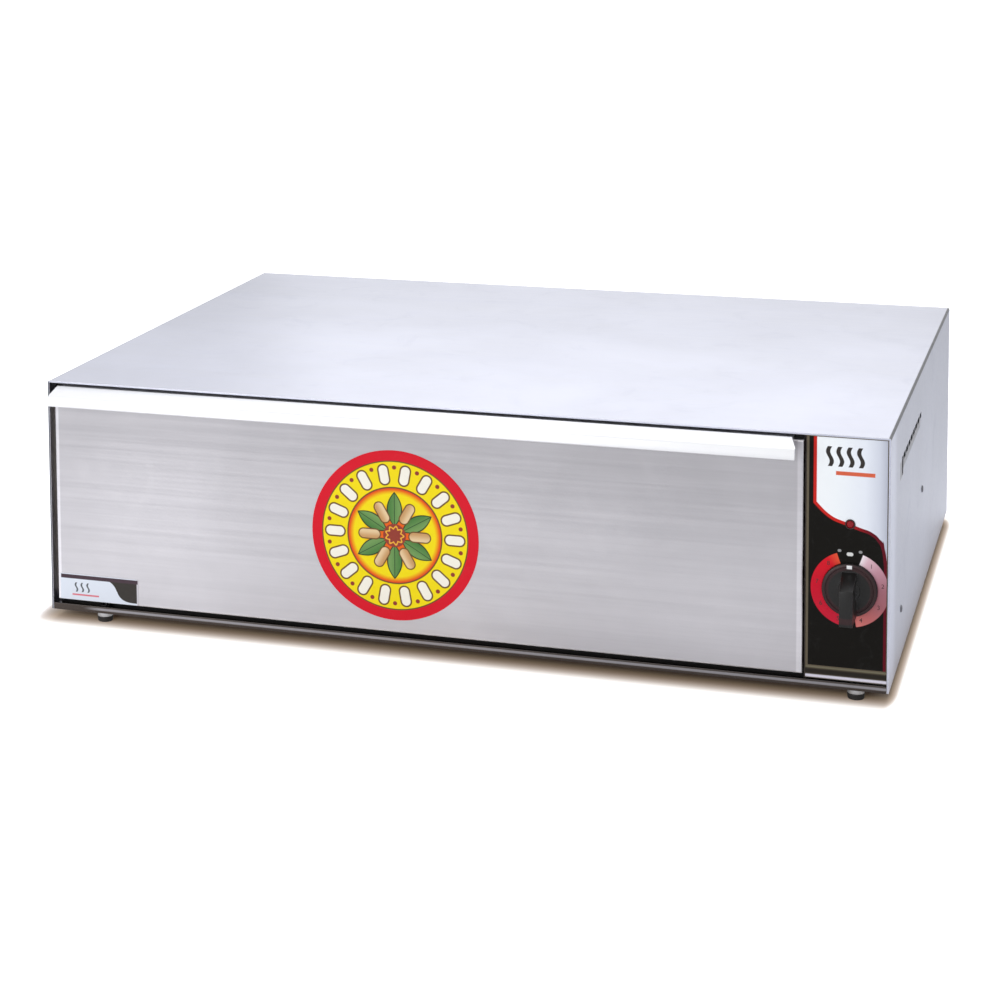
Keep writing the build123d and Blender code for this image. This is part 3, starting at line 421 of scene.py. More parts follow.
mouldedFinishes = {
    # The face frame's pale olive is painted light in its recess, and its black ends painted shade in the gaps
    # above and below the drawer
    "framePaintedLightAndShade": {"colour": (0.42, 0.36, 0.27), "rough": 0.42, "grain": 900.0,
                   "edgeColour": (0.4, 0.35, 0.27), "paintedShadeEnds": (26.5, 248)},
    # The vent baffle is black to paint the shade behind the slots; the foot nuts share it
    "baffleBlack": {"colour": (0.012, 0.011, 0.01), "rough": 0.5, "grain": 900.0},
    "knobPlastic": {"colour": (0.011, 0.0105, 0.01), "rough": 0.36, "grain": 2400.0, "edge": 0.6,
                    "edgeColour": (0.2, 0.2, 0.2), "specular": 0.3,
                    "rim": (20.4, 26.2, (0.032, 0.011, 0.012))},
    "bezelPlastic": {"colour": (0.045, 0.022, 0.02), "rough": 0.35, "edge": 0.3,
                     "edgeColour": (0.2, 0.13, 0.12)},
    "lensRed": {"colour": (0.26, 0.003, 0.008), "rough": 0.22, "coat": 0.15, "specular": 0.25,
                "edgeColour": (0.4, 0.03, 0.03)},
    "markWhite": {"colour": (0.88, 0.88, 0.88), "rough": 0.4, "edgeColour": (0.7, 0.7, 0.7)},
    "footRubber": {"colour": (0.02, 0.017, 0.016), "rough": 0.6, "grain": 900.0, "grainDepth": 0.5},
    "gasketSilicone": {"colour": (0.03, 0.028, 0.027), "rough": 0.55, "grain": 700.0, "grainDepth": 0.4},
    "glandPlastic": {"colour": (0.02, 0.02, 0.021), "rough": 0.42, "edge": 0.35},
    "thermostatCase": {"colour": (0.09, 0.08, 0.07), "rough": 0.5},
    "terminalPlastic": {"colour": (0.75, 0.72, 0.64), "rough": 0.45, "edgeColour": (0.85, 0.83, 0.78)},
    "wireSleeve": {"colour": (0.05, 0.05, 0.055), "rough": 0.5},
    "fibreBlanket": {"colour": (0.72, 0.6, 0.32), "rough": 0.95, "grain": 260.0, "grainDepth": 1.0,
                     "edge": 0.0, "mottle": 0.25, "specular": 0.1},
    "dialInk": {"colour": (0.035, 0.006, 0.008), "rough": 0.45, "edge": 0.0},
}


def makeMoulding(name, changes):
    look = {**plainMoulding, **changes}
    material, tree, output = newMaterial(name)
    place = objectPlace(tree)
    grain = noise(tree, place, look["grain"], {"Detail": 3.0, "Roughness": 0.6})
    wiped = use(tree, wipeMarks, Vector=place, Size=22.0)
    dark = opaque([part * (1 - look["mottle"]) for part in look["colour"]])
    pale = opaque([min(1, part * (1 + look["mottle"])) for part in look["colour"]])
    base = blendColours(tree, wiped["Clouds"], dark, pale)
    base, normal = paintEdgeWearAndHighlight(tree, base, look)
    # Painted shade in the gaps at the frame's ends
    if look["paintedShadeEnds"]:
        middle = between(tree, parts(tree, place)["Z"], *[height * mm for height in look["paintedShadeEnds"]], mm)
        base = blendColours(tree, middle, opaque(dustAndShadeInk["paintedGapShade"]), base)
    # Painted reflection of the red dial ring on the knob's skirt
    if look["rim"]:
        inner, outer, colour = look["rim"]
        radius = polar(tree, *sheetPlace(tree, (knobX, 0, knobZ)))[0]
        base = blendColours(tree, between(tree, radius, inner, outer, 0.6), base, opaque(colour))
    rough = plus(tree, ramp(tree, grain, 0.3, 0.7, look["rough"] - 0.05, look["rough"] + 0.05),
                 times(tree, wiped["Smears"], 0.08))
    bump = {"Strength": look["grainDepth"], "Distance": 0.03 * mm, "Height": grain, "Normal": normal}
    settings = {"Specular IOR Level": look["specular"], "Coat Weight": look["coat"]}
    coverSurface(tree, output, base, rough, bump, settings)
    return material


# Prints, drawn in millimetres from a chosen point of the sheet that carries them

def sheetPlace(tree, centre):
    start = [-value / mm for value in centre]
    toSheet = {"Vector": objectPlace(tree), "Location": start, "Scale": [1 / mm] * 3}
    spot = parts(tree, put(tree, "ShaderNodeMapping", toSheet).outputs[0])
    return spot["X"], spot["Z"]


def within(tree, distance, soft=0.25):
    # 1 where the signed distance is below zero
    return ramp(tree, distance, -soft, soft, 1.0, 0.0, "LINEAR")


def between(tree, value, low, high, soft=0.25):
    above = ramp(tree, value, low - soft, low + soft, 0.0, 1.0, "LINEAR")
    return times(tree, above, ramp(tree, value, high - soft, high + soft, 1.0, 0.0, "LINEAR"))


def box(tree, across, up, left, right, low, high):
    return times(tree, between(tree, across, left, right), between(tree, up, low, high))


def polar(tree, across, up):
    flat = put(tree, "ShaderNodeCombineXYZ", {0: across, 1: up}).outputs[0]
    # The angle is 0 at the top and grows clockwise
    return vectorCalc(tree, "LENGTH", flat, output="Value"), calc(tree, "ARCTAN2", across, up)


def repeatRound(tree, radius, angle, count, phase=0.0):
    # Folds the sheet into equal wedges and gives the place along and across each one
    wedge = 2 * math.pi / count
    local = calc(tree, "WRAP", plus(tree, angle, phase * wedge), wedge / 2, -wedge / 2)
    along = times(tree, radius, calc(tree, "COSINE", local))
    return along, times(tree, radius, calc(tree, "SINE", local))


def capsule(tree, along, across, middle, length, width):
    reach = calc(tree, "ABSOLUTE", less(tree, along, middle))
    reach = calc(tree, "MAXIMUM", less(tree, reach, (length - width) / 2), 0.0)
    pair = put(tree, "ShaderNodeCombineXYZ", {0: reach, 1: across}).outputs[0]
    return less(tree, vectorCalc(tree, "LENGTH", pair, output="Value"), width / 2)


def leaf(tree, along, across, middle, length, width):
    share = calc(tree, "DIVIDE", less(tree, along, middle), length / 2)
    half = times(tree, less(tree, 1.0, times(tree, share, share)), width / 2)
    return less(tree, calc(tree, "ABSOLUTE", across), half)


def stroke(tree, distance, width):
    return less(tree, calc(tree, "ABSOLUTE", distance), width / 2)


def stamp(tree, colour, distance, inkColour, soft=0.25):
    return blendColours(tree, within(tree, distance, soft), colour, inkColour)


def drawSign(tree, colour, across, up, sign):
    # Rising lines of warm air over a bar
    low, high = sign["low"], sign["high"]
    for middle in sign["waves"]:
        turn = calc(tree, "SINE", times(tree, less(tree, up, low), 2 * math.pi / (high - low)))
        away = less(tree, less(tree, across, middle), times(tree, turn, sign["swing"]))
        line = within(tree, stroke(tree, away, sign["width"]))
        colour = blendColours(tree, times(tree, line, between(tree, up, low, high)), colour, sign["ink"])
    return blendColours(tree, box(tree, across, up, *sign["bar"]), colour, sign["barInk"])


def curveHeight(tree, across, points, width, height):
    node = put(tree, "ShaderNodeFloatCurve", {"Value": calc(tree, "DIVIDE", across, width)})
    curve = node.mapping.curves[0]
    curve.points[0].location = (points[0][0] / width, points[0][1] / height)
    curve.points[-1].location = (points[-1][0] / width, points[-1][1] / height)
    for x, z in points[1:-1]:
        curve.points.new(x / width, z / height)
    node.mapping.update()
    return times(tree, node.outputs[0], height)


def colourStops(tree, value, stops):
    node = put(tree, "ShaderNodeValToRGB", {"Fac": value})
    band = node.color_ramp
    for place, colour in stops[1:-1]:
        band.elements.new(place).color = colour
    band.elements[0].position, band.elements[0].color = stops[0]
    band.elements[-1].position, band.elements[-1].color = stops[-1]
    return node.outputs[0]


def finishPrint(tree, output, colour, rough=0.4, specular=0.2):
    # Printed film: a light orange-peel surface and a few rubbed patches under a matt varnish
    place = objectPlace(tree)
    peel = noise(tree, place, 900.0, {"Detail": 2.0})
    wiped = use(tree, wipeMarks, Vector=place, Size=18.0)
    worn = blendColours(tree, times(tree, wiped["Smears"], 0.012), colour, (0.5, 0.5, 0.5, 1))
    roughness = plus(tree, times(tree, wiped["Clouds"], 0.08), rough)
    bump = {"Strength": 0.12, "Distance": 0.02 * mm, "Height": peel}
    coverSurface(tree, output, worn, roughness, bump, {"Specular IOR Level": specular})


decalPrint = {
    "rimInner": 79.6,  # red rim outside, yellow ring inside
    "ringInner": 51.5,
    "line": 1.4,
    "beads": {"count": 18, "middle": 65.5, "length": 20.0, "width": 9.5, "outline": 1.7},
    "dots": {"radius": 73.0, "size": 4.6},
    "leaves": {"count": 6, "middle": 28.0, "length": 38.0, "width": 17.0, "outline": 1.3, "vein": 0.7},
    "kernels": {"middle": 27.5, "length": 25.0, "width": 12.0, "outline": 1.3},
    "heart": {"radius": 12.5, "waveRadius": 8.6, "waveSwing": 1.3, "waveLine": 1.9, "waves": 9},
    "red": ink(222, 12, 38),
    "orange": ink(240, 110, 16),
    "yellow": ink(250, 226, 10),
    "cream": ink(252, 247, 232),
    "brown": ink(110, 78, 40),
    "green": ink(74, 126, 62),
    "paleGreen": ink(120, 160, 92),
    "darkGreen": ink(34, 58, 36),
    "tan": ink(206, 158, 104),
    "paleTan": ink(236, 206, 160),
    "sausage": ink(150, 62, 48),
    "mustard": ink(244, 178, 62),
}


def decalCentre(tree, colour, radius, angle):
    # Leaves and kernels in turn round a disc with a wavy line
    leaves, kernels, heart = decalPrint["leaves"], decalPrint["kernels"], decalPrint["heart"]
    along, side = repeatRound(tree, radius, angle, leaves["count"])
    away = leaf(tree, along, side, leaves["middle"], leaves["length"], leaves["width"])
    colour = stamp(tree, colour, away, decalPrint["darkGreen"])
    lit = ramp(tree, side, -leaves["width"] / 2, leaves["width"] / 2)
    green = blendColours(tree, lit, decalPrint["green"], decalPrint["paleGreen"])
    inner = within(tree, plus(tree, away, leaves["outline"]))
    colour = blendColours(tree, inner, colour, green)
    vein = within(tree, stroke(tree, side, leaves["vein"]))
    colour = blendColours(tree, times(tree, vein, inner), colour, decalPrint["darkGreen"])
    along, side = repeatRound(tree, radius, angle, leaves["count"], 0.5)
    away = capsule(tree, along, side, kernels["middle"], kernels["length"], kernels["width"])
    colour = stamp(tree, colour, away, decalPrint["brown"])
    lit = ramp(tree, side, -kernels["width"] / 3, kernels["width"] / 3)
    baked = blendColours(tree, lit, decalPrint["tan"], decalPrint["paleTan"])
    colour = stamp(tree, colour, plus(tree, away, kernels["outline"]), baked)
    colour = stamp(tree, colour, less(tree, radius, heart["radius"]), decalPrint["sausage"])
    swing = times(tree, calc(tree, "SINE", times(tree, angle, heart["waves"])), heart["waveSwing"])
    ripple = less(tree, less(tree, radius, heart["waveRadius"]), swing)
    return stamp(tree, colour, stroke(tree, ripple, heart["waveLine"]), decalPrint["mustard"])


def makeDecalPrint():
    material, tree, output = newMaterial("decalPrint")
    low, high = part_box("round_decal")
    radius, angle = polar(tree, *sheetPlace(tree, (low + high) / 2))
    stops = [(0.0, ink(236, 86, 20)), (0.5, decalPrint["orange"]), (0.68, decalPrint["yellow"]),
             (0.86, decalPrint["yellow"]), (0.95, decalPrint["orange"]), (1.0, decalPrint["red"])]
    colour = colourStops(tree, calc(tree, "DIVIDE", radius, decalPrint["ringInner"]), stops)
    colour = decalCentre(tree, colour, radius, angle)
    # The ring with its beads and dots, and the rim
    ring = between(tree, radius, decalPrint["ringInner"], decalPrint["rimInner"])
    colour = blendColours(tree, ring, colour, decalPrint["yellow"])
    beads, dots = decalPrint["beads"], decalPrint["dots"]
    along, side = repeatRound(tree, radius, angle, beads["count"], 0.5)
    away = capsule(tree, along, side, beads["middle"], beads["length"], beads["width"])
    colour = stamp(tree, colour, less(tree, away, beads["outline"]), decalPrint["brown"])
    colour = stamp(tree, colour, away, decalPrint["cream"])
    along, side = repeatRound(tree, radius, angle, beads["count"])
    away = capsule(tree, along, side, dots["radius"], dots["size"], dots["size"])
    colour = stamp(tree, colour, away, decalPrint["sausage"])
    for edge in (decalPrint["ringInner"], decalPrint["rimInner"]):
        line = between(tree, radius, edge - decalPrint["line"] / 2, edge + decalPrint["line"] / 2)
        colour = blendColours(tree, line, colour, decalPrint["brown"])
    rimStart = decalPrint["rimInner"] + decalPrint["line"] / 2
    rim = ramp(tree, radius, rimStart - 0.2, rimStart + 0.2)
    finishPrint(tree, output, blendColours(tree, rim, colour, decalPrint["red"]))
    return material


panelPrint = {
    # The white field lies above this line, given in millimetres from the film's lower left corner
    "fieldLine": [(0.0, 176.0), (4.4, 167.8), (8.3, 163.1), (21.0, 152.0), (35.5, 146.2), (50.0, 141.4),
                  (61.0, 137.6), (67.5, 132.0), (71.4, 125.2), (73.6, 114.0), (75.9, 96.0)],
    "fieldLeft": 5.9,
    "redLine": 3.2,
    "black": ink(20, 18, 15),
    # The white darkens towards the film's right edge: painted shade
    "whitesWithPaintedShade": [(0.0, ink(252, 254, 255)), (0.35, ink(249, 253, 255)), (0.72, ink(238, 242, 250)),
               (0.9, ink(216, 220, 231)), (1.0, ink(190, 193, 206))],
    "red": ink(205, 40, 34),
    "darkRed": ink(98, 18, 32),
    "ringInner": 27.2,
    "ringOuter": 38.0,
    "arcs": ((19.5, 170.0), (196.0, 340.5)),  # degrees clockwise from the top
    "ringColours": [(0.055, ink(250, 238, 242)), (0.085, ink(226, 188, 198)), (0.15, ink(200, 148, 162)),
                    (0.24, ink(172, 114, 124)), (0.33, ink(172, 108, 114)), (0.4, ink(206, 116, 116)),
                    (0.46, ink(232, 132, 126)), (0.52, ink(206, 38, 62)), (0.75, ink(212, 26, 50)),
                    (0.9, ink(222, 30, 44)), (0.95, ink(236, 92, 60))],
    "sign": {"waves": (20.0, 30.0, 40.0, 50.0), "low": 203.0, "high": 223.0, "width": 4.2, "swing": 1.8,
             "ink": ink(58, 54, 52), "bar": (26.0, 64.0, 194.5, 198.5), "barInk": ink(222, 104, 74)},
    "edgeRun": (2.8, 112.0),  # the dark red strip at the right: width, and height where it ends
    "offMark": (0.0, 35.6, 6.4, 3.6),  # from the dial's axis: across, up, length and width
    "offDots": ((-10.2, 38.6, 3.6, 2.8), (10.2, 38.6, 3.6, 2.8)),
    "offInk": ink(225, 225, 222),
    "dotInk": ink(150, 150, 150),
}


def makePanelPrint():
    material, tree, output = newMaterial("panelPrint")
    low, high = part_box("control_overlay")
    width, height = (high.x - low.x) / mm, (high.z - low.z) / mm
    across, up = sheetPlace(tree, low)
    line = curveHeight(tree, across, panelPrint["fieldLine"], width, height)
    step = 0.5
    nextLine = curveHeight(tree, plus(tree, across, step), panelPrint["fieldLine"], width, height)
    slope = calc(tree, "DIVIDE", less(tree, nextLine, line), step)
    lean = calc(tree, "SQRT", plus(tree, times(tree, slope, slope), 1.0))
    above = calc(tree, "DIVIDE", less(tree, up, line), lean)
    depth = calc(tree, "MINIMUM", above, less(tree, across, panelPrint["fieldLeft"]))
    white = colourStops(tree, calc(tree, "DIVIDE", across, width), panelPrint["whitesWithPaintedShade"])
    field = ramp(tree, depth, -0.25, 0.25, 0.0, 1.0, "LINEAR")
    colour = blendColours(tree, field, panelPrint["black"], white)
    red = blendColours(tree, ramp(tree, across, 25.0, 66.0), panelPrint["red"], panelPrint["darkRed"])
    colour = stamp(tree, colour, stroke(tree, depth, panelPrint["redLine"]), red)
    strip, stripTop = panelPrint["edgeRun"]
    edgeRun = box(tree, across, up, width - strip, width, -1, stripTop)
    colour = blendColours(tree, edgeRun, colour, panelPrint["darkRed"])
    # The dial's ring goes from pale to hot, with marks at its off position
    dialAcross, dialUp = sheetPlace(tree, (knobX, 0, knobZ))
    radius, angle = polar(tree, dialAcross, dialUp)
    degrees = calc(tree, "DEGREES", angle)
    turned = calc(tree, "WRAP", degrees, 360.0, 0.0)
    arcs = plus(tree, *[between(tree, turned, start, end, 0.5) for start, end in panelPrint["arcs"]])
    ring = times(tree, between(tree, radius, panelPrint["ringInner"], panelPrint["ringOuter"]), arcs)
    heat = colourStops(tree, calc(tree, "DIVIDE", turned, 360.0), panelPrint["ringColours"])
    colour = blendColours(tree, ring, colour, heat)
    marks = [(panelPrint["offMark"], panelPrint["offInk"])]
    marks += [(dot, panelPrint["dotInk"]) for dot in panelPrint["offDots"]]
    for (middle, rise, length, wide), markColour in marks:
        mark = capsule(tree, dialAcross, less(tree, dialUp, rise), middle, length, wide)
        colour = stamp(tree, colour, mark, markColour, 0.3)
    colour = drawSign(tree, colour, across, up, panelPrint["sign"])
    finishPrint(tree, output, colour, 0.45, 0.08)
    return material


labelPrint = {
    "stripe": (0.6, 92.4, 23.6, 28.0),
    "blockRight": 91.2,
    "blockLow": 2.0,
    "blockTop": 25.0,
    # The block lies to the right of and above this line
    "sweep": [(0.0, 28.7), (54.0, 25.6), (58.5, 23.8), (63.5, 20.0), (67.5, 13.5), (71.0, 7.5), (76.0, 4.0),
              (82.0, 2.4), (93.0, 2.0)],
    "dark": ink(58, 54, 50),
    "stripeInk": ink(74, 58, 66),
    "white": ink(232, 238, 248),
    "border": ink(214, 210, 216),
    "sign": {"waves": (19.0, 26.0, 33.0), "low": 9.0, "high": 19.5, "width": 2.0, "swing": 1.1,
             "ink": ink(92, 96, 100), "bar": (14.0, 46.0, 5.0, 6.8), "barInk": ink(226, 120, 132)},
}


def makeLabelPrint():
    material, tree, output = newMaterial("labelPrint")
    low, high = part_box("corner_label")
    across, up = sheetPlace(tree, low)
    foot, top, right = labelPrint["blockLow"], labelPrint["blockTop"], labelPrint["blockRight"]
    border = ramp(tree, across, right - 0.2, right + 0.2)
    colour = blendColours(tree, border, labelPrint["white"], labelPrint["border"])
    size = (high - low) / mm
    line = curveHeight(tree, across, labelPrint["sweep"], size.x, size.z)
    sweep = within(tree, less(tree, line, up))
    block = times(tree, sweep, box(tree, across, up, 0.0, right, foot, top))
    colour = blendColours(tree, block, colour, labelPrint["dark"])
    colour = blendColours(tree, box(tree, across, up, *labelPrint["stripe"]), colour, labelPrint["stripeInk"])
    finishPrint(tree, output, drawSign(tree, colour, across, up, labelPrint["sign"]))
    return material


finishes = {name: makeMetal(name, changes) for name, changes in metalFinishes.items()}
finishes.update({name: makeMoulding(name, changes) for name, changes in mouldedFinishes.items()})
print("plain finishes made:", len(finishes))
finishes["decalPrint"] = makeDecalPrint()
finishes["panelPrint"] = makePanelPrint()
finishes["labelPrint"] = makeLabelPrint()
print("prints drawn")


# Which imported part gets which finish

partFinish = {
    "wrapperSteel": ["outer_wrapper", "back_panel"],
    "frontSteel": ["drawer_front_skin"],
    "lipSteel": ["drawer_handle"],
    "baseSteel": ["base_pan", "divider_panel"],
    "panelSteel": ["control_panel_plate"],
    "framePaintedLightAndShade": ["face_frame"],
    "linerSteel": ["cavity_liner", "liner_back_wall", "liner_floor", "element_guard",
                   "drawer_front_back_plate"],
    "panSteel": ["drawer_pan", "drawer_pan_front_wall", "drawer_pan_rear_wall", "water_pan"],
    "rackSteel": ["bun_rack"],
    "fibreBlanket": ["insulation_top", "insulation_sides", "insulation_rear", "insulation_floor",
                     "drawer_front_insulation"],
    "elementSheath": ["heating_element"],
    "zincSteel": ["element_clips", "bulb_clips", "back_screws", "drawer_screws"],
    "studSteel": ["foot_studs"],
    "darkZinc": ["side_screws"],
    "baffleBlack": ["side_vent_baffle", "foot_nuts"],
    "slideSteel": [name for name in nodes if name.startswith(("slide_", "ball_cage_"))],
    "panelPrint": ["control_overlay"],
    "decalPrint": ["round_decal"],
    "labelPrint": ["corner_label"],
    "bezelPlastic": ["pilot_light_housing"],
    "lensRed": ["pilot_light_lens"],
    "thermostatCase": ["thermostat_body", "hi_limit_switch"],
    "copperTube": ["thermostat_capillary"],
    "terminalPlastic": ["terminal_block"],
    "wireSleeve": ["wiring_harness"],
    "glandPlastic": ["cord_gland", "cord_gland_locknut"],
    "footRubber": ["rubber_feet"],
    "gasketSilicone": ["drawer_gasket"],
    "knobPlastic": ["knob_body"],
    "markWhite": ["knob_pointer_mark"],
    "shaftSteel": ["thermostat_shaft"],
}

for finish, names in partFinish.items():
    for name in names:
        nodes[name].data.materials.clear()
        nodes[name].data.materials.append(finishes[finish])
bare = set(nodes) - {name for names in partFinish.values() for name in names}
print("packed parts finished:", len(nodes) - len(bare), "bare:", sorted(bare))


# Modelling helpers

hexTurn = math.pi / 6  # turns a six-sided rod so that its corners point sideways


def clearSelection():
    if bpy.context.object and bpy.context.object.mode != "OBJECT":
        bpy.ops.object.mode_set(mode="OBJECT")
    bpy.ops.object.select_all(action="DESELECT")


def activate(piece):
    clearSelection()
    piece.select_set(True)
    bpy.context.view_layer.objects.active = piece


def placeStart(name):
    # Names a new primitive and lets its mesh carry its place
    piece = bpy.context.object
    piece.name = name
    bpy.ops.object.transform_apply(location=True, rotation=True, scale=True)
    return piece


def pick(piece, kind, test):
    # Selects corners or faces in edit mode; the test gets a place, and for faces the normal too
    bpy.ops.mesh.select_mode(type=kind)
    bpy.ops.mesh.select_all(action="DESELECT")
    cage = bmesh.from_edit_mesh(piece.data)
    if kind == "FACE":
        for face in cage.faces:
            face.select_set(test(face.calc_center_median(), face.normal))
    else:
        for corner in cage.verts:
            corner.select_set(test(corner.co))
    cage.select_flush_mode()
    bmesh.update_edit_mesh(piece.data)


def applyModifier(piece, kind, **settings):
    activate(piece)
    modifier = piece.modifiers.new("worked", kind)
    for key, value in settings.items():
        setattr(modifier, key, value)
    bpy.ops.object.modifier_apply(modifier=modifier.name)


def roundEdges(piece, width, segments=2, degrees=30):
    applyModifier(piece, "BEVEL", width=width, segments=segments, limit_method="ANGLE",
                  angle_limit=math.radians(degrees), use_clamp_overlap=False)


def cutWith(piece, cutter, operation="DIFFERENCE"):
    applyModifier(piece, "BOOLEAN", object=cutter, operation=operation, solver="EXACT")
    bpy.data.objects.remove(cutter)


def closeUp(piece):
    activate(piece)
    bpy.ops.object.mode_set(mode="EDIT")
    bpy.ops.mesh.select_all(action="SELECT")
    bpy.ops.mesh.remove_doubles(threshold=0.001 * mm)
    bpy.ops.mesh.normals_make_consistent(inside=False)
    bpy.ops.object.mode_set(mode="OBJECT")


def drawChain(name, places):
    # A chain of edges from place to place, left in edit mode
    clearSelection()
    bpy.ops.mesh.primitive_plane_add(size=1 * mm, location=(0, 0, 0))
    piece = placeStart(name)
    bpy.ops.object.mode_set(mode="EDIT")
    bpy.ops.mesh.select_mode(type="VERT")
    bpy.ops.mesh.select_all(action="SELECT")
    bpy.ops.mesh.merge(type="CENTER")
    bpy.ops.transform.translate(value=places[0])
    for here, there in zip(places, places[1:]):
        bpy.ops.mesh.extrude_region_move(TRANSFORM_OT_translate={"value": there - here})
    return piece


def spinOutline(name, outline, centre, axis, steps=64):
    # The outline is a chain of (radius, distance along the axis) corners, spun once round the axis
    sideways = Vector((0, 0, 1)) if axis == yAxis else Vector((1, 0, 0))
    places = [Vector(centre) + sideways * radius * mm + axis * along * mm for radius, along in outline]
    piece = drawChain(name, places)
    bpy.ops.mesh.select_all(action="SELECT")
    bpy.ops.mesh.spin(steps=steps, angle=2 * math.pi, center=centre, axis=axis)
    closeUp(piece)
    return piece


def addRod(name, sides, radius, length, centre, turn=0.0):
    # A prism along Y; with six sides and no turn its corners point up and down
    clearSelection()
    bpy.ops.mesh.primitive_cylinder_add(vertices=sides, radius=radius * mm, depth=length * mm,
                                        location=centre, rotation=(math.pi / 2, turn, 0))
    return placeStart(name)


def addBlock(name, centre, size, rotation=(0, 0, 0)):
    clearSelection()
    bpy.ops.mesh.primitive_cube_add(size=1, location=centre, rotation=rotation, scale=size)
    return placeStart(name)


def finishPiece(piece, finish, body, stands=(), smoothAngle=35):
    activate(piece)
    bpy.ops.object.shade_smooth_by_angle(angle=math.radians(smoothAngle))
    piece.data.materials.clear()
    piece.data.materials.append(finishes[finish])
    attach(piece, body)
    if stands:
        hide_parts(*stands)


def copyPiece(piece, name, turn, place):
    # A copy with its own mesh, turned about the origin and carried to its place
    activate(piece)
    bpy.ops.object.duplicate(linked=False)
    twin = bpy.context.object
    twin.name = name
    twin.data.name = name
    twin.data.transform(Matrix.Translation(place) @ turn)
    return twin


def separateSolids(node):
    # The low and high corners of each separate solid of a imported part
    cage = bmesh.new()
    cage.from_mesh(nodes[node].data)
    bmesh.ops.remove_doubles(cage, verts=cage.verts, dist=0.001 * mm)
    left = set(cage.verts)
    boxes = []
    while left:
        found, queue = set(), [left.pop()]
        while queue:
            corner = queue.pop()
            found.add(corner)
            for edge in corner.link_edges:
                other = edge.other_vert(corner)
                if other in left:
                    left.discard(other)
                    queue.append(other)
        places = [corner.co for corner in found]
        boxes.append((Vector([min(p[i] for p in places) for i in range(3)]),
                      Vector([max(p[i] for p in places) for i in range(3)])))
    cage.free()
    return sorted(boxes, key=lambda b: (round(b[0].x, 4), round(b[0].y, 4), round(b[0].z, 4)))


# Thermostat knob: a stepped skirt with a hub and a bar grip, hollow finger sides and a bore for the shaft

knob = {
    "skirtRadius": 27.0,
    "skirtThick": 4.0,
    "skirtGap": 0.5,
    "hubHeight": 3.2,
    "gripWidth": 15.5,
    "gripTop": 18.5,
    "gripNose": 7.0,
    "gripFoot": 29.0,
    "footRise": 3.4,
    "noseTaper": 0.88,
    "noseRound": 0.8,
    "fingerRim": 1.3,
    "fingerDepth": 0.9,
    "boreRadius": 3.05,
    "boreFlat": 2.3,
    "noseBack": 5.0,
    "markRise": 23.6,
    "markSize": (5.2, 1.3, 3.6),
}


def makeKnobGrip(backY, faceY, noseY):
    half = knob["gripWidth"] / 2 * mm
    top, foot = knobZ + knob["gripTop"] * mm, knobZ - knob["gripFoot"] * mm
    startY = backY - 0.6 * mm
    middle = (knobX, (startY + noseY) / 2, (top + foot) / 2)
    grip = addBlock("knobGrip", middle, (2 * half, startY - noseY, top - foot))
    bpy.ops.object.mode_set(mode="EDIT")
    bpy.ops.mesh.select_all(action="SELECT")
    bpy.ops.mesh.bisect(plane_co=(knobX, faceY, knobZ), plane_no=(0, 1, 0))
    # The upper edge slopes back from the nose, and the foot draws in at the skirt
    nearNose = noseY + 0.01 * mm
    pick(grip, "VERT", lambda p: p.y < nearNose and p.z > top - mm)
    bpy.ops.transform.translate(value=(0, 0, (knob["gripNose"] - knob["gripTop"]) * mm))
    pick(grip, "VERT", lambda p: p.y > nearNose and p.z < foot + mm)
    bpy.ops.transform.translate(value=(0, 0, knob["footRise"] * mm))
    pick(grip, "VERT", lambda p: p.y < nearNose)
    bpy.ops.transform.resize(value=(knob["noseTaper"], 1, 1), center_override=(knobX, noseY, knobZ))
    pick(grip, "FACE", lambda p, n: abs(n.x) > 0.9 and p.y < faceY)
    bpy.ops.mesh.inset(thickness=knob["fingerRim"] * mm, depth=-knob["fingerDepth"] * mm,
                       use_even_offset=True)
    bpy.ops.object.mode_set(mode="OBJECT")
    roundEdges(grip, knob["noseRound"] * mm, 3, 25)
    closeUp(grip)
    return grip


def makeKnob():
    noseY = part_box("knob_body")[0].y + knob["noseBack"] * mm
    backY = filmFront - knob["skirtGap"] * mm
    rim, thick, hub = knob["skirtRadius"], knob["skirtThick"], knob["skirtThick"] + knob["hubHeight"]
    outline = [(0, hub), (8.5, hub), (10.2, hub - 0.8), (10.8, hub - 1.8), (11.4, thick + 0.5),
               (13, thick + 0.1), (21.9, thick - 0.1), (22.4, thick - 0.6), (23.2, thick - 0.6),
               (23.7, thick - 0.1), (25.6, thick - 0.2), (rim - 0.5, thick - 0.7), (rim, thick - 1.6),
               (rim, 0.4), (rim - 0.5, 0), (0, 0)]
    forward = [(radius, -along) for radius, along in outline]
    turned = spinOutline("controlKnob", forward, (knobX, backY, knobZ), yAxis, 96)
    cutWith(turned, makeKnobGrip(backY, backY - thick * mm, noseY), "UNION")
    # The bore has a flat that keys on the shaft
    boreEnd, bore = shaftLow.y - 0.3 * mm, knob["boreRadius"]
    length = (backY + mm - boreEnd) / mm
    cutter = addRod("shaftBore", 48, bore, length, (knobX, (backY + mm + boreEnd) / 2, knobZ))
    bpy.ops.object.mode_set(mode="EDIT")
    bpy.ops.mesh.select_all(action="SELECT")
    bpy.ops.mesh.bisect(plane_co=(knobX, 0, knobZ + knob["boreFlat"] * mm), plane_no=(0, 0, 1),
                        clear_outer=True, use_fill=True)
    bpy.ops.object.mode_set(mode="OBJECT")
    cutWith(turned, cutter)
    closeUp(turned)
    finishPiece(turned, "knobPlastic", "thermostat_knob", ["knob_body"], 30)


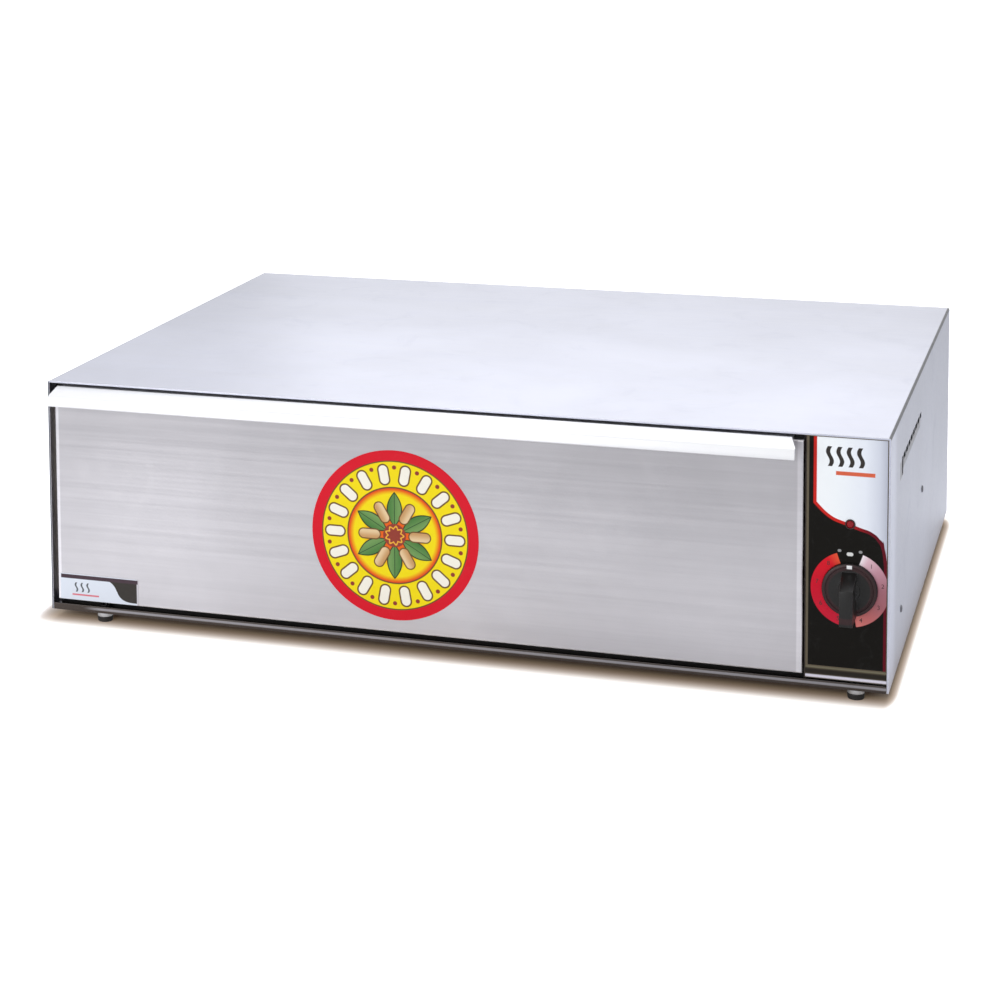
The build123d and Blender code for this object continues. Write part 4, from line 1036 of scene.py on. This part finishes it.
def makePointerMark():
    # A white bar let into the skirt above the grip
    face = filmFront - (knob["skirtGap"] + knob["skirtThick"]) * mm
    mark = addBlock("pointerMark", (knobX, face + 0.25 * mm, knobZ + knob["markRise"] * mm),
                    [part * mm for part in knob["markSize"]])
    bpy.ops.object.mode_set(mode="EDIT")
    pick(mark, "FACE", lambda p, n: n.y < -0.9)
    bpy.ops.mesh.inset(thickness=0.25 * mm, depth=0.1 * mm)
    bpy.ops.object.mode_set(mode="OBJECT")
    roundEdges(mark, 0.25 * mm, 2, 60)
    closeUp(mark)
    finishPiece(mark, "markWhite", "thermostat_knob", ["knob_pointer_mark"])


makeKnob()
makePointerMark()
print("knob modelled")


# Pilot light: a rimmed ring on a barrel with its nut, and a faceted red lens

pilotLight = {
    "bezelRadius": 5.0,
    "bezelThick": 1.2,
    "barrelRadius": 4.6,
    "lensRadius": 3.8,
    "lensPlay": 0.15,
    "pocketDepth": 3.0,
    "dome": 2.2,
    "nutFlats": 13.2,
    "nutThick": 3.0,
    "nutSeat": 1.3,  # behind the front of the panel
    "facets": 16,
}


def makePilotLight():
    lensLow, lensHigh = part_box("pilot_light_lens")
    barrelEnd = (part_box("pilot_light_housing")[1].y - filmFront) / mm
    centre = ((lensLow.x + lensHigh.x) / 2, filmFront, (lensLow.z + lensHigh.z) / 2)
    front, outer, barrel = -pilotLight["bezelThick"], pilotLight["bezelRadius"], pilotLight["barrelRadius"]
    pocket, floor = pilotLight["lensRadius"] + pilotLight["lensPlay"], front + pilotLight["pocketDepth"]
    outline = [(0, floor), (pocket, floor), (pocket, front + 0.5), (pocket + 0.3, front),
               (outer - 0.4, front), (outer, front + 0.45), (outer, 0), (barrel, 0), (barrel, barrelEnd),
               (0, barrelEnd)]
    ring = spinOutline("pilotBezel", outline, centre, yAxis, 48)
    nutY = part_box("control_panel_plate")[0].y + (pilotLight["nutSeat"] + pilotLight["nutThick"] / 2) * mm
    nut = addRod("pilotNut", 6, pilotLight["nutFlats"] / math.sqrt(3), pilotLight["nutThick"],
                 (centre[0], nutY, centre[2]), hexTurn)
    roundEdges(nut, 0.4 * mm)
    cutWith(ring, nut, "UNION")
    closeUp(ring)
    finishPiece(ring, "bezelPlastic", "cabinet", ["pilot_light_housing"])
    crown, edge = front - pilotLight["dome"], pilotLight["lensRadius"]
    outline = [(0, crown), (1.5, crown + 0.12), (2.6, crown + 0.75), (3.4, crown + 1.7),
               (edge, crown + 2.6), (edge, 1.6), (edge - 0.3, 1.8), (0, 1.8)]
    lens = spinOutline("pilotLens", outline, centre, yAxis, pilotLight["facets"])
    finishPiece(lens, "lensRed", "cabinet", ["pilot_light_lens"], 12)


makePilotLight()
print("pilot light modelled")


# Screws: domed pan heads with a cross recess and a plain shank, one modelled and the rest copied

screw = {
    "headRadius": 4.0,
    "headHeight": 1.6,
    "shankRadius": 2.0,
    "recessLong": 4.4,
    "recessWide": 1.1,
    "recessDeep": 1.1,
    "seed": 7,
}


def makeScrewBlank(name, length):
    # The head's seat lies in the plane y = 0 and the head points along +Y
    high, radius, shank = screw["headHeight"], screw["headRadius"], screw["shankRadius"]
    outline = [(0, high), (1.4, high - 0.04), (2.6, high - 0.22), (3.4, high - 0.58), (3.85, high - 1.1),
               (radius, 0.25), (radius - 0.15, 0), (shank, 0), (shank, 0.6 - length), (shank - 0.6, -length),
               (0, -length)]
    blank = spinOutline(name, outline, (0, 0, 0), yAxis, 40)
    size = (screw["recessLong"] * mm, 2 * screw["recessDeep"] * mm, screw["recessWide"] * mm)
    for turn in (0, math.pi / 2):
        blade = addBlock("recessBlade", (0, high * mm, 0), size, (0, turn, 0))
        bpy.ops.object.mode_set(mode="EDIT")
        pick(blade, "VERT", lambda p: p.y < high * mm)
        bpy.ops.transform.resize(value=(0.6, 1, 0.6), center_override=(0, high * mm, 0))
        bpy.ops.object.mode_set(mode="OBJECT")
        cutWith(blank, blade)
    closeUp(blank)
    return blank


def makeScrews(node, label, finish, body, outward):
    # outward gives the way that the head at a place faces
    rng = random.Random(screw["seed"])
    places = []
    for low, high in separateSolids(node):
        way = outward((low + high) / 2)
        places.append(((low + high) / 2, way, abs((high - low).dot(way)) / 2))
    blank = makeScrewBlank(label + "Blank", 2 * places[0][2] / mm - screw["headHeight"])
    for i, (middle, way, reach) in enumerate(places, 1):
        seat = middle + way * (reach - screw["headHeight"] * mm)
        lean = yAxis.rotation_difference(way).to_matrix().to_4x4()
        turn = lean @ Matrix.Rotation(rng.uniform(0, 1.5), 4, "Y")
        piece = copyPiece(blank, f"{label}{i}", turn, seat)
        finishPiece(piece, finish, body, [node], 28)
    bpy.data.objects.remove(blank)


makeScrews("side_screws", "sideScrew", "darkZinc", "cabinet", lambda p: Vector((math.copysign(1, p.x), 0, 0)))
makeScrews("back_screws", "backScrew", "zincSteel", "cabinet", lambda p: yAxis)
makeScrews("drawer_screws", "drawerScrew", "zincSteel", "drawer", lambda p: yAxis)
print("screws modelled")


# Rubber feet: turned pads with two grip grooves and a hollow sole

foot = {
    "height": 6.0,
    "topRadius": 8.8,
    "soleRadius": 8.2,
    "grooves": (2.3, 4.2),
    "grooveDeep": 0.45,
    "studRadius": 3.3,
    "studDeep": 3.5,
}


def makeFeet():
    top, sole, rim, stud = foot["height"], foot["soleRadius"], foot["topRadius"], foot["studRadius"]
    outline = [(0, 0.9), (3.2, 0.9), (3.8, 0.25), (4.2, 0), (sole - 1.0, 0), (sole - 0.3, 0.3), (sole, 1.0)]
    for height in foot["grooves"]:
        edge = sole + (rim - sole) * height / top
        outline += [(edge, height - 0.5), (edge - foot["grooveDeep"], height - 0.2),
                    (edge - foot["grooveDeep"], height + 0.2), (edge, height + 0.5)]
    outline += [(rim, top - 0.9), (rim - 0.3, top - 0.2), (rim - 0.9, top), (stud, top),
                (stud, top - foot["studDeep"]), (0, top - foot["studDeep"])]
    blank = spinOutline("footBlank", outline, (0, 0, 0), zAxis, 48)
    for i, (low, high) in enumerate(separateSolids("rubber_feet"), 1):
        place = Vector(((low.x + high.x) / 2, (low.y + high.y) / 2, low.z))
        piece = copyPiece(blank, f"rubberFoot{i}", Matrix.Identity(4), place)
        finishPiece(piece, "footRubber", "cabinet", ["rubber_feet"], 40)
    bpy.data.objects.remove(blank)


makeFeet()
print("feet modelled")


# Cord gland: a hexagonal seat, a fluted clamping dome and a threaded barrel, bored through

gland = {
    "hexFlats": 20.0,
    "hexThick": 5.0,
    "domeRadius": 8.8,
    "domeLength": 8.0,
    "barrelRadius": 7.8,
    "bore": 4.2,
    "flutes": 18,
    "threadPitch": 1.5,
}


def makeGland():
    low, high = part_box("cord_gland")
    hexEnd, tip = gland["hexThick"], gland["hexThick"] + gland["domeLength"]
    centre = Vector(((low.x + high.x) / 2, high.y - tip * mm, (low.z + high.z) / 2))
    inner = (low.y - centre.y) / mm
    barrel, dome, bore = gland["barrelRadius"], gland["domeRadius"], gland["bore"]
    outline = [(bore, inner), (barrel - 0.8, inner)]
    for i in range(int((-inner - 1.5) / gland["threadPitch"])):
        start = inner + 0.6 + i * gland["threadPitch"]
        outline += [(barrel, start), (barrel - 0.7, start + gland["threadPitch"] / 2)]
    outline += [(barrel, -0.6), (barrel, hexEnd - 0.4), (dome - 0.6, hexEnd - 0.4),
                (dome - 0.6, hexEnd + 0.8), (dome, hexEnd + 1.3), (dome, tip - 2.8), (dome - 0.5, tip - 1.3),
                (dome - 1.6, tip - 0.3), (dome - 2.8, tip), (bore + 0.7, tip), (bore, tip - 0.6),
                (bore, inner)]
    body = spinOutline("cordGland", outline, centre, yAxis, 72)
    for i in range(gland["flutes"]):
        angle = 2 * math.pi * i / gland["flutes"]
        out = Vector((math.cos(angle), 0, math.sin(angle))) * (dome + 0.45) * mm
        cutWith(body, addRod("flute", 10, 0.95, 6.4, centre + out + yAxis * (hexEnd + 5.2) * mm))
    middle = centre + yAxis * hexEnd / 2 * mm
    seat = addRod("glandSeat", 6, gland["hexFlats"] / math.sqrt(3), hexEnd, middle, hexTurn)
    roundEdges(seat, 0.5 * mm)
    cutWith(seat, addRod("glandBore", 72, bore + 1, 30, centre))
    cutWith(body, seat, "UNION")
    closeUp(body)
    finishPiece(body, "glandPlastic", "cabinet", ["cord_gland"], 28)


makeGland()
print("gland modelled")


# Pull lip: one sheet folded over the drawer front, its lower edge hemmed back on itself

pullLip = {
    "sheet": 1.5,
    "seat": 15.0,
    "reach": 28.0,
    "drop": 4.0,
    "crest": 1.8,
    "lip": 10.25,
    "slant": 1.6,
    "foldRadius": 2.4,
    "foldSteps": 6,
    "hemGap": 1.9,
    "hem": 6.0,
    "endRound": 0.35,
    "rearTrim": 6.0,
}


def makePullLip():
    low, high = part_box("drawer_handle")
    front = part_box("drawer_front_skin")[0].y
    middle = high.z - pullLip["sheet"] / 2 * mm
    nose = front - (pullLip["reach"] - pullLip["sheet"] / 2) * mm
    profile = [(front + pullLip["seat"] * mm, middle), (front - 0.6 * mm, middle),
               (front - 2.8 * mm, middle + pullLip["crest"] * mm), (nose, middle - pullLip["drop"] * mm),
               (nose - pullLip["slant"] * mm, middle - (pullLip["drop"] + pullLip["lip"]) * mm)]
    y, z = profile[-1]
    back = y + pullLip["hemGap"] * mm
    profile += [(back, z), (back + 0.8 * mm, z + pullLip["hem"] * mm)]
    corners = [Vector((low.x, y, z)) for y, z in profile]
    piece = drawChain("pullLip", corners)
    bends = [(corners[1:3], 0.9, 4), (corners[3:4], pullLip["foldRadius"], pullLip["foldSteps"]),
             (corners[4:6], 0.85, 4)]
    for folds, radius, steps in bends:
        pick(piece, "VERT", lambda p: min((p - corner).length for corner in folds) < 0.01 * mm)
        bpy.ops.mesh.bevel(offset=radius * mm, segments=steps, affect="VERTICES")
    bpy.ops.mesh.select_all(action="SELECT")
    bpy.ops.mesh.extrude_region_move(TRANSFORM_OT_translate={"value": (high.x - low.x, 0, 0)})
    pick(piece, "VERT", lambda p: p.x > high.x - mm and p.y > front - 4 * mm)
    bpy.ops.transform.translate(value=(-pullLip["rearTrim"] * mm, 0, 0))
    closeUp(piece)
    applyModifier(piece, "SOLIDIFY", thickness=pullLip["sheet"] * mm, offset=0, use_even_offset=True)
    roundEdges(piece, pullLip["endRound"] * mm, 2, 40)
    finishPiece(piece, "lipSteel", "drawer", ["drawer_handle"], 25)


makePullLip()
print("pull lip modelled")


# Plain numerals round the dial

dialNumerals = {
    "numbers": "12345678",
    "first": 40.0,  # degrees clockwise from the top
    "last": 320.0,
    "radius": 32.4,
    "size": 6.2,
    "thick": 0.02,
}


def makeDialNumerals():
    numbers, thick, far = dialNumerals["numbers"], dialNumerals["thick"] * mm, dialNumerals["radius"] * mm
    step = (dialNumerals["last"] - dialNumerals["first"]) / (len(numbers) - 1)
    pieces = []
    for i, number in enumerate(numbers):
        angle = math.radians(dialNumerals["first"] + step * i)
        clearSelection()
        bpy.ops.object.text_add(location=(0, 0, 0))
        piece = bpy.context.object
        piece.data.body = number
        piece.data.size = dialNumerals["size"] * mm
        piece.data.extrude = thick
        piece.data.align_x, piece.data.align_y = "CENTER", "CENTER"
        bpy.ops.object.convert(target="MESH")
        piece.rotation_euler = (math.pi / 2, 0, 0)
        piece.location = (knobX + far * math.sin(angle), filmFront - thick, knobZ + far * math.cos(angle))
        pieces.append(placeStart(f"dialNumeral{number}"))
    activate(pieces[0])
    for piece in pieces:
        piece.select_set(True)
    bpy.ops.object.join()
    numerals = bpy.context.object
    numerals.name = "dialNumerals"
    closeUp(numerals)
    finishPiece(numerals, "dialInk", "cabinet")


makeDialNumerals()
print("dial numerals set")


# Floor, lamps and world

studio = {
    "floorSize": 120.0,
    "floorColour": (0.9, 0.9, 0.9),
    "shadeColour": (0.52, 0.43, 0.34),  # painted shadow: the paper close to the base is tinted brown, as if lit only by what bounces under it
    "shadeReach": (0.03, 0.1),
    # Where the painted shadow clears: mm in from the wrapper's left, right and both ends
    "drawnIn": (9.8, 9.8, 38.0),
    "sideReach": (2.4, 2.4),  # the painted shadow is this much narrower at the left and the right
    # The same two for the shadow that the camera sees under the rim; a camera-only glow with brown-tinted
    # stops paints its fade
    "contactDrawnIn": (-10.0, 5.2, 38.0),
    "contactSideReach": (3.4, 4.5),
    "contactReach": 0.052,
    "contactGlow": [(0.0, (0, 0, 0)), (0.2, (0.012, 0.004, 0)), (0.33, (0.06, 0.04, 0.02)),
                    (0.46, (0.12, 0.085, 0.06)), (0.6, (0.22, 0.175, 0.145)), (0.73, (0.33, 0.29, 0.27)),
                    (0.86, (0.55, 0.53, 0.52)), (1.0, (0.86, 0.86, 0.86))],
    "glowFar": (0.25, 1.2, 1.0, 0.7),
    "mirrorGlow": (0.65, 0.03, 0.55),  # painted reflection: a glow that only the steel sees, most near the foot and to the left
    "mirrorAcross": (-0.9, 0.45, 1.0, 0.3),
    "mirrorPool": (-1.1, -0.7, 0.0),
    "mirrorPoolReach": 1.1,
    "mirrorPoolGlow": 0.12,
    "skyColour": (0.93, 0.95, 1.0),
    "skyLight": 0.68,
    "lamps": {  # place, aim, width and height, power
        "overheadSoftbox": ((0.15, 0.55, 2.3), (0.05, 0.05, 0.2), (2.4, 1.6), 24),
        "frontSoftbox": ((-1.1, -2.9, 0.75), (0, 0, 0.15), (2.2, 0.9), 24),
        "rearSoftbox": ((-0.5, 3.0, 1.2), (0, 0, 0.27), (1.7, 0.6), 3.0),
    },
}


def glowing(tree, kind, colour, strength):
    return put(tree, kind, {"Color": colour, "Strength": strength}).outputs[0]


def addShaders(tree, first, second):
    return put(tree, "ShaderNodeAddShader", {0: first, 1: second}).outputs[0]


def seenAsBackground(tree):
    path = put(tree, "ShaderNodeLightPath").outputs
    seen = calc(tree, "MAXIMUM", path["Is Camera Ray"], path["Is Glossy Ray"])
    return calc(tree, "MAXIMUM", seen, path["Is Transmission Ray"])


def footprintDistance(tree, place, drawnIn, sideReach):
    # How far a spot on the floor lies outside the cabinet's outline, counted more to the sides
    low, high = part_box("outer_wrapper")
    left, right, ends = (inset * mm for inset in drawnIn)
    low = Vector((low.x + left, low.y + ends, 0))
    high = Vector((high.x - right, high.y - ends, 0))
    middle, half = (low + high) / 2, (high - low) / 2
    away = vectorCalc(tree, "SUBTRACT", place, middle)
    reach = ramp(tree, parts(tree, away)["X"], -10 * mm, 10 * mm, *sideReach)
    weights = put(tree, "ShaderNodeCombineXYZ", {"X": reach, "Y": 1.0}).outputs[0]
    away = vectorCalc(tree, "SUBTRACT", vectorCalc(tree, "ABSOLUTE", away), half)
    away = vectorCalc(tree, "MAXIMUM", away)
    return vectorCalc(tree, "LENGTH", vectorCalc(tree, "MULTIPLY", away, weights), output="Value")


def makeFloor():
    clearSelection()
    bpy.ops.mesh.primitive_plane_add(size=studio["floorSize"], location=(0, 0, 0))
    floor = bpy.context.object
    floor.name = "studioFloor"
    material, tree, output = newMaterial("studioPaper")
    place = objectPlace(tree)
    away = footprintDistance(tree, place, studio["drawnIn"], studio["sideReach"])
    outside = footprintDistance(tree, place, studio["contactDrawnIn"], studio["contactSideReach"])
    # Painted shadow: the paper's colour turns brown close to the base
    near = ramp(tree, away, *studio["shadeReach"])
    paper = blendColours(tree, near, opaque(studio["shadeColour"]), opaque(studio["floorColour"]))
    diffuse = put(tree, "ShaderNodeBsdfDiffuse", {"Color": paper}).outputs[0]
    # Painted shadow: a camera-only glow with brown-tinted stops clears the real shadow with distance from the
    # base
    clearing = ramp(tree, outside, 0.0, studio["contactReach"], 0.0, 1.0, "LINEAR")
    glow = colourStops(tree, clearing, [(stop, opaque(colour)) for stop, colour in studio["contactGlow"]])
    across = parts(tree, place)["X"]
    # Painted reflection: a glow that only glossy rays see, to lighten the steel near the foot and to the left
    start, end, most = studio["mirrorGlow"]
    sideways = ramp(tree, across, *studio["mirrorAcross"])
    mirrored = times(tree, ramp(tree, away, start, end, 0.0, most), sideways)
    toPool = vectorCalc(tree, "DISTANCE", place, studio["mirrorPool"], "Value")
    pool = ramp(tree, toPool, 0.0, studio["mirrorPoolReach"], studio["mirrorPoolGlow"], 0.0)
    mirrored = plus(tree, mirrored, pool)
    path = put(tree, "ShaderNodeLightPath").outputs
    reflected = calc(tree, "MAXIMUM", path["Is Glossy Ray"], path["Is Transmission Ray"])
    fading = times(tree, path["Is Camera Ray"], ramp(tree, away, *studio["glowFar"]))
    seen = glowing(tree, "ShaderNodeEmission", glow, fading)
    inMirror = glowing(tree, "ShaderNodeEmission", (1, 1, 1, 1), times(tree, reflected, mirrored))
    joined = addShaders(tree, diffuse, addShaders(tree, seen, inMirror))
    tree.links.new(joined, output.inputs["Surface"])
    floor.data.materials.append(material)


def makeLamps():
    for name, (place, aim, size, power) in studio["lamps"].items():
        clearSelection()
        bpy.ops.object.light_add(type="AREA", location=place)
        lamp = bpy.context.object
        lamp.name = name
        lamp.data.shape = "RECTANGLE"
        lamp.data.size, lamp.data.size_y = size
        lamp.data.energy = power
        lamp.rotation_euler = (Vector(aim) - Vector(place)).to_track_quat("-Z", "Y").to_euler()


def makeSky():
    world = bpy.data.worlds.new("studioSky")
    bpy.context.scene.world = world
    world.use_nodes = True
    tree = world.node_tree
    tree.nodes.clear()
    output = tree.nodes.new("ShaderNodeOutputWorld")
    light = glowing(tree, "ShaderNodeBackground", opaque(studio["skyColour"]), studio["skyLight"])
    white = glowing(tree, "ShaderNodeBackground", (1, 1, 1, 1), 1.0)
    seen = put(tree, "ShaderNodeMixShader", {0: seenAsBackground(tree), 1: light, 2: white})
    tree.links.new(seen.outputs[0], output.inputs["Surface"])


makeFloor()
makeLamps()
makeSky()
print("studio ready")
